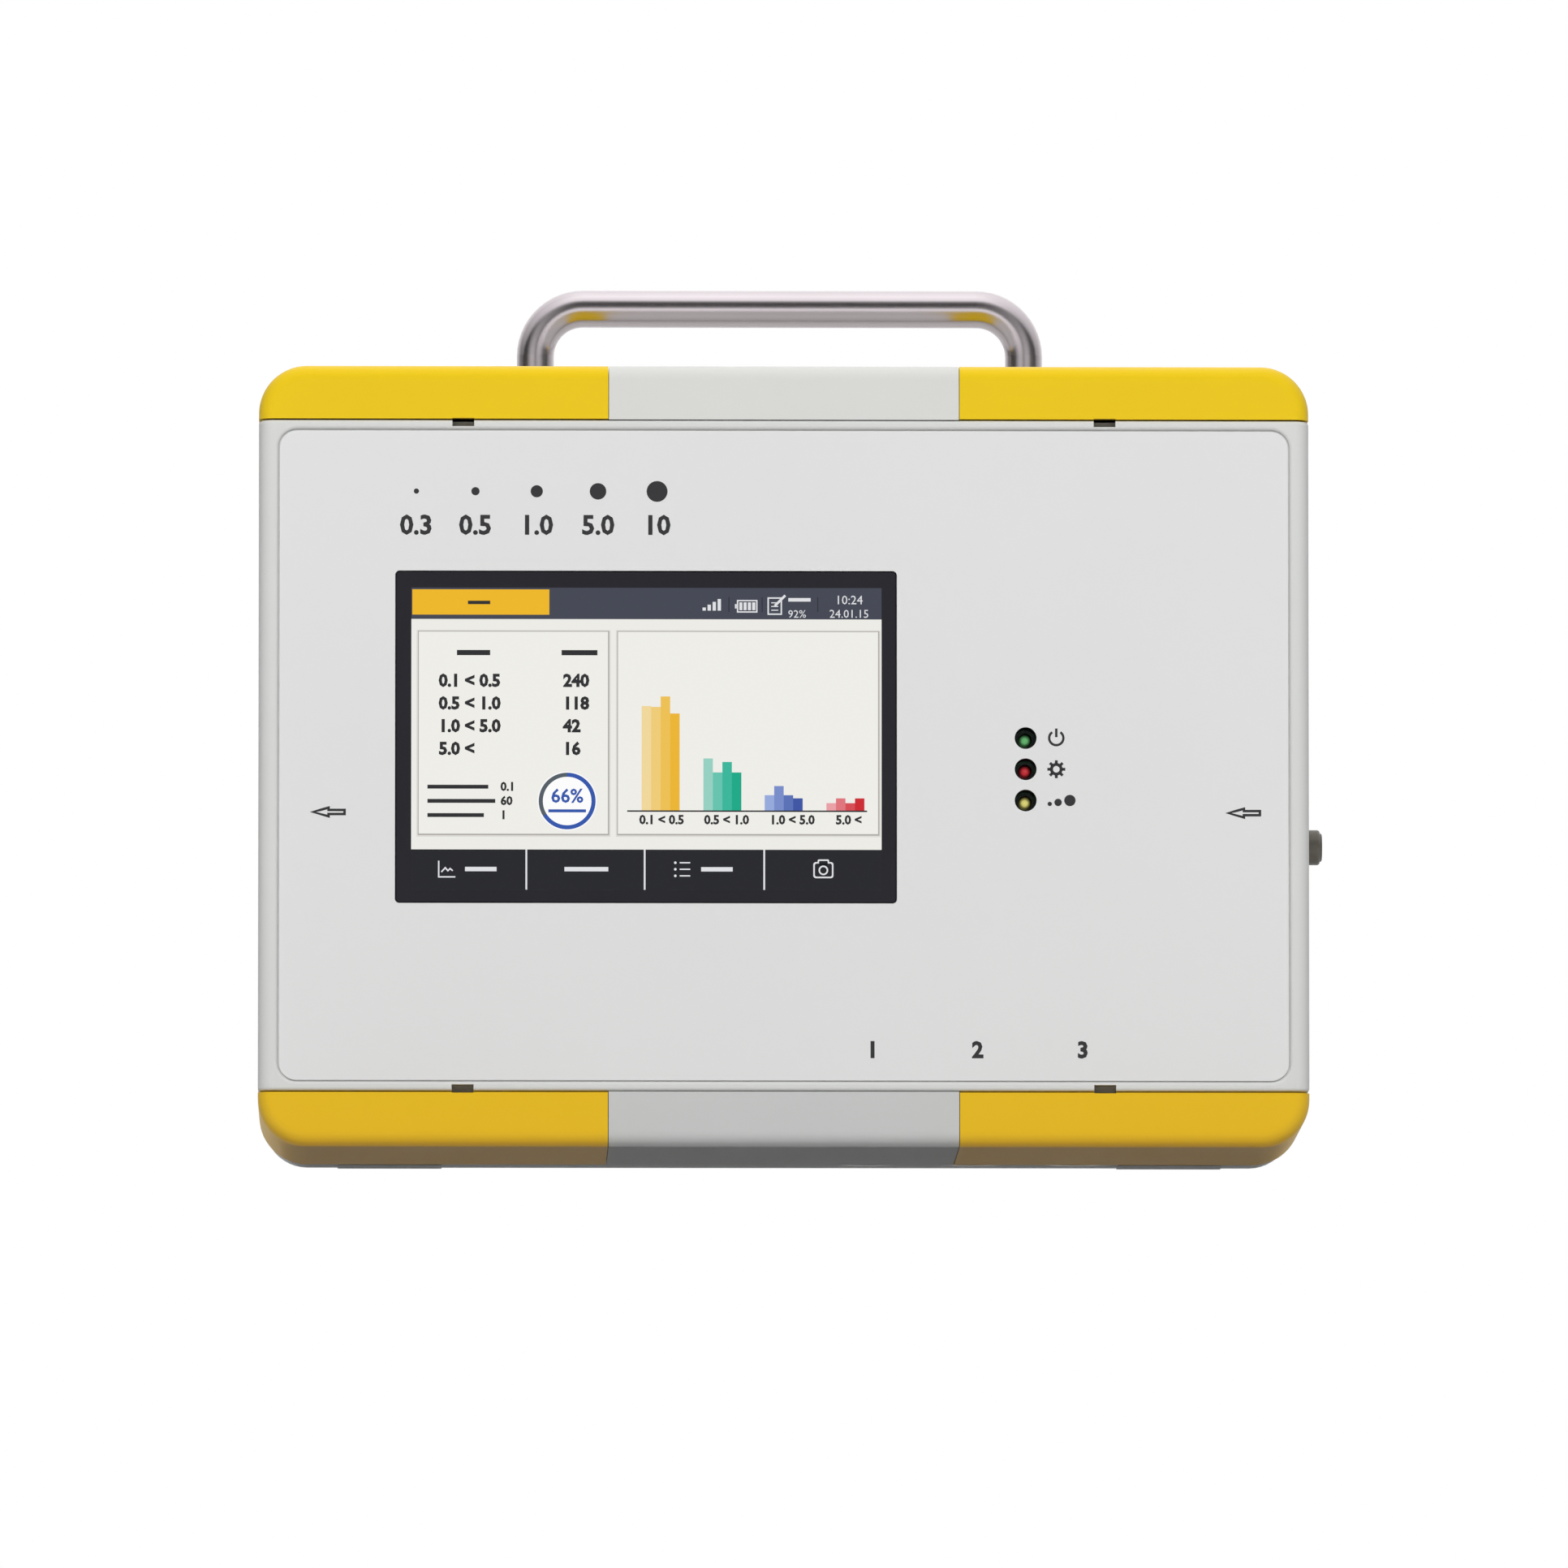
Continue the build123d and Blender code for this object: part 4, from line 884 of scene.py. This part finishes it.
class COUNTER_OT_screen(bpy.types.Operator):
    """Draw the lit picture of the display"""
    bl_idname = "counter.screen"
    bl_label = "Screen picture"

    def execute(self, context):
        look = context.scene.counter_front
        low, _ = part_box("touch_glass")
        width, height = look.screen_width / MM, look.screen_height / MM
        page = Drawing(low[0] + look.screen_margin, low[2] + look.screen_low, low[1],
                       look.print_lift * 0.25)
        page.bar(0, width, 0, height, PAPER, 1)
        draw_title(page, width, 62.1, height)
        draw_table(page)
        draw_chart(page)
        draw_buttons(page, width, 9.3)
        page.finish("screen_picture", "screen_glass")
        finish = Finish("lit_picture", IOR=1.5, Specular_IOR_Level=0.12, Coat_Roughness=0.04)
        ink = finish.wire(finish.node("ShaderNodeAttribute", {"attribute_name": "ink"}))
        smear = finish.noise(0.02, 3)
        finish.set(Emission_Color=ink, Roughness=0.14 + smear * 0.06, Coat_Weight=0.03 + smear * 0.04)
        finish.shader.inputs["Emission Strength"].default_value = look.glow
        finish.shader.inputs["Base Color"].default_value = (0.012, 0.012, 0.013, 1)
        finish.on("screen_picture")
        return {"FINISHED"}


class COUNTER_OT_print(bpy.types.Operator):
    """Print the flow arrows, the size scale and the connector numbers"""
    bl_idname = "counter.print"
    bl_label = "Printed marks"

    def execute(self, context):
        look = context.scene.counter_front
        low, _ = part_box("front_overlay")
        ink = linear(look.ink_colour)
        page = Drawing(0, 0, low[1], look.print_lift)
        for side, height in ARROW_PLACES:
            draw_arrow(page, side, height, ink)
        draw_symbols(page, SYMBOLS_SIDE, [middle_of(name)[2] / MM for name in LIGHT_TINTS], ink)
        for side, radius, figures in SIZE_SCALE:
            page.dot(side, SCALE_DOTS, radius, ink)
            page.number(figures, side, SCALE_FIGURES, SCALE_SIZE, ink, 1, "CENTER", 0.03)
        for name, figures in zip(CONNECTORS, "123"):
            side = middle_of(name)[0] / MM
            page.number(figures, side, SOCKET_FIGURES, SOCKET_SIZE, ink, 1, "CENTER", 0.04)
        piece = page.finish("overlay_print", "overlay_foil")
        finish = Finish("screen_ink", IOR=1.45)
        tone = finish.wire(finish.node("ShaderNodeAttribute", {"attribute_name": "ink"}))
        speckle = finish.noise(0.0002, 2)
        finish.set(Base_Color=tone, Roughness=0.4 + speckle * 0.15)
        finish.relief(speckle, 0.000003, 0.4)
        finish.on(piece.name)
        return {"FINISHED"}


class COUNTER_OT_sockets(bpy.types.Operator):
    """Cut the socket threads and set the plated contacts of the connectors"""
    bl_idname = "counter.sockets"
    bl_label = "Socket threads and contacts"

    def execute(self, context):
        threads, pins = [], []
        for name, count in zip(CONNECTORS, PIN_COUNTS):
            x, y, _ = middle_of(name)
            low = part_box(name)[0][2]
            threads.append(thread_points(x, y, low + THREAD_START * MM, SOCKET_BORE * MM, THREAD_PITCH * MM,
                                         THREAD_DEPTH * MM, THREAD_TURNS))
            for k in range(count):
                turn = 2 * math.pi * k / count
                across, along = x + PIN_CIRCLE * MM * math.cos(turn), y + PIN_CIRCLE * MM * math.sin(turn)
                pins.append(pin_points(across, along, low + PIN_START * MM, PIN_RADIUS * MM, PIN_LENGTH * MM))
        make_piece("socket_threads", *gather(threads), slot="dark_metal", smooth=True)
        make_piece("socket_contacts", *gather(pins), slot="brass", smooth=True)
        look = context.scene.counter_metal
        plated("thread_nickel", NICKEL, 0.28).on("socket_threads")
        plated("contact_gold", look.gold_colour, 0.2).on("socket_contacts")
        return {"FINISHED"}


def add_lamp(name, place, aim, side, power):
    """Soft square lamp that faces a point and leaves no bright patch on polished metal."""
    lamp = bpy.data.lights.new(name, "AREA")
    lamp.size, lamp.energy = side, power
    holder = bpy.data.objects.new(name, lamp)
    holder.visible_glossy = False
    bpy.context.scene.collection.objects.link(holder)
    point_at(holder, place, aim)


def point_at(holder, place, aim):
    """Puts an object at a place and turns its -Z to a point."""
    holder.location = place
    holder.rotation_euler = (Vector(aim) - Vector(place)).to_track_quat("-Z", "Y").to_euler()


def studio_world(level):
    """White behind the object, an even level for soft light, and a room of bright and dark bands for gloss.

    One ramp follows the height angle, the other the angle round the horizon; a direction that leans more
    to the side than up takes more of the second.
    """
    world = bpy.data.worlds.new("studio")
    world.use_nodes = True
    room = Builder(world.node_tree)
    way = room.node("ShaderNodeSeparateXYZ", Vector=room.wire(room.node("ShaderNodeTexCoord"), "Generated"))
    side, front, height = room.wire(way, 0), room.wire(way, 1) * -1, room.wire(way, 2)
    upright = room.level_at(HEIGHT_STOPS, height, front)
    level_round = room.level_at(ROUND_STOPS, side, front)
    sideways, lift = room.math("ABSOLUTE", side), room.math("ABSOLUTE", height)
    turn = sideways / (sideways + lift + 0.02)
    ramp = upright * (1 - turn) + level_round * turn
    path = room.node("ShaderNodeLightPath")
    gloss = room.wire(path, "Is Glossy Ray")
    seen = room.math("MAXIMUM", room.wire(path, "Is Camera Ray"), room.wire(path, "Is Transmission Ray"))
    strength = seen + (1 - seen) * (ramp * ROOM_PEAK * gloss + (1 - gloss) * level)
    background = world.node_tree.nodes["Background"]
    background.inputs["Color"].default_value = (1, 1, 1, 1)
    room.plug(background.inputs["Strength"], strength)
    bpy.context.scene.world = world


def make_floor(colour, fade_start=0.35, fade_end=1.3, leak=0.38):
    """Round pale floor, clear from below and fading to clear far out, that leaks some light from under it."""
    turn = np.linspace(0, 2 * np.pi, FLOOR_SIDES, endpoint=False)
    edge = np.column_stack([FLOOR_RADIUS * np.cos(turn), FLOOR_RADIUS * np.sin(turn),
                            np.full(FLOOR_SIDES, FLOOR_HEIGHT)])
    mesh = bpy.data.meshes.new("floor")
    mesh.from_pydata(edge.tolist(), [], [list(range(FLOOR_SIDES))])
    floor = bpy.data.objects.new("floor", mesh)
    bpy.context.scene.collection.objects.link(floor)
    finish = Finish("floor_paper", Specular_IOR_Level=0.1)
    finish.set(Base_Color=finish.shade(linear(colour), finish.noise(0.4, 2), 0.01))
    finish.shader.inputs["Roughness"].default_value = 0.8
    path = finish.node("ShaderNodeLightPath")
    side = finish.node("ShaderNodeNewGeometry")
    camera = finish.wire(path, "Is Camera Ray")
    below = finish.wire(side, "Backfacing")
    across, along, _ = finish.axes()
    reach = (across * across + along * along) ** 0.5
    gone = finish.clamp((reach - fade_start) / (fade_end - fade_start))
    clear = below + (1 - below) * (camera * gone + (1 - camera) * leak)
    through = finish.node("ShaderNodeBsdfTransparent")
    mix = finish.node("ShaderNodeMixShader", Fac=clear)
    finish.tree.links.new(finish.shader.outputs[0], mix.inputs[1])
    finish.tree.links.new(through.outputs[0], mix.inputs[2])
    finish.tree.links.new(mix.outputs[0], finish.tree.nodes["Material Output"].inputs["Surface"])
    mesh.materials.append(finish.material)


class COUNTER_OT_stage(bpy.types.Operator):
    """Set the floor, the lamps, the white surroundings and the camera"""
    bl_idname = "counter.stage"
    bl_label = "Stage"

    def execute(self, context):
        look = context.scene.counter_stage
        front = cad_box[0][1]
        aim = Vector((0, front, look.aim_height))
        place = Vector((look.camera_side, front - look.distance, look.camera_height))
        make_floor(look.floor_colour)
        for name, lamp_place, side, power in LAMPS:
            add_lamp(name, lamp_place, aim, side, getattr(look, power))
        studio_world(look.sky_level)
        camera = bpy.data.cameras.new("camera")
        scale = look.pixels_per_metre / look.picture_width
        camera.lens = scale * (aim - place).length * camera.sensor_width
        holder = bpy.data.objects.new("camera", camera)
        context.scene.collection.objects.link(holder)
        point_at(holder, place, aim)
        context.scene.camera = holder
        context.scene.view_settings.view_transform = "Standard"
        return {"FINISHED"}


class COUNTER_PT_panel(bpy.types.Panel):
    """Lists the steps that finish the counter"""
    bl_idname = "COUNTER_PT_panel"
    bl_label = "Particle counter"
    bl_space_type = "VIEW_3D"
    bl_region_type = "UI"
    bl_category = "Counter"

    def draw(self, context):
        for group in GROUPS:
            settings = getattr(context.scene, group)
            box = self.layout.box()
            for name in settings.__annotations__:
                box.prop(settings, name)
        for step in STEPS:
            self.layout.operator(step.bl_idname)


GROUPS = {
    "counter_case": CounterCase,
    "counter_metal": CounterMetal,
    "counter_front": CounterFront,
    "counter_stage": CounterStage,
}
STEPS = (COUNTER_OT_case, COUNTER_OT_metal, COUNTER_OT_inside, COUNTER_OT_lights, COUNTER_OT_screen,
         COUNTER_OT_print, COUNTER_OT_sockets, COUNTER_OT_stage)


def register():
    for group in GROUPS.values():
        bpy.utils.register_class(group)
    for name, group in GROUPS.items():
        setattr(bpy.types.Scene, name, bpy.props.PointerProperty(type=group))
    for step in (*STEPS, COUNTER_PT_panel):
        bpy.utils.register_class(step)


def unregister():
    for step in (COUNTER_PT_panel, *reversed(STEPS)):
        bpy.utils.unregister_class(step)
    for name in GROUPS:
        delattr(bpy.types.Scene, name)
    for group in reversed(GROUPS.values()):
        bpy.utils.unregister_class(group)


def main():
    """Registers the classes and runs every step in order."""
    register()
    bpy.ops.counter.case()
    bpy.ops.counter.metal()
    bpy.ops.counter.inside()
    bpy.ops.counter.lights()
    bpy.ops.counter.screen()
    bpy.ops.counter.print()
    bpy.ops.counter.sockets()
    bpy.ops.counter.stage()


if __name__ == "__main__":
    main()
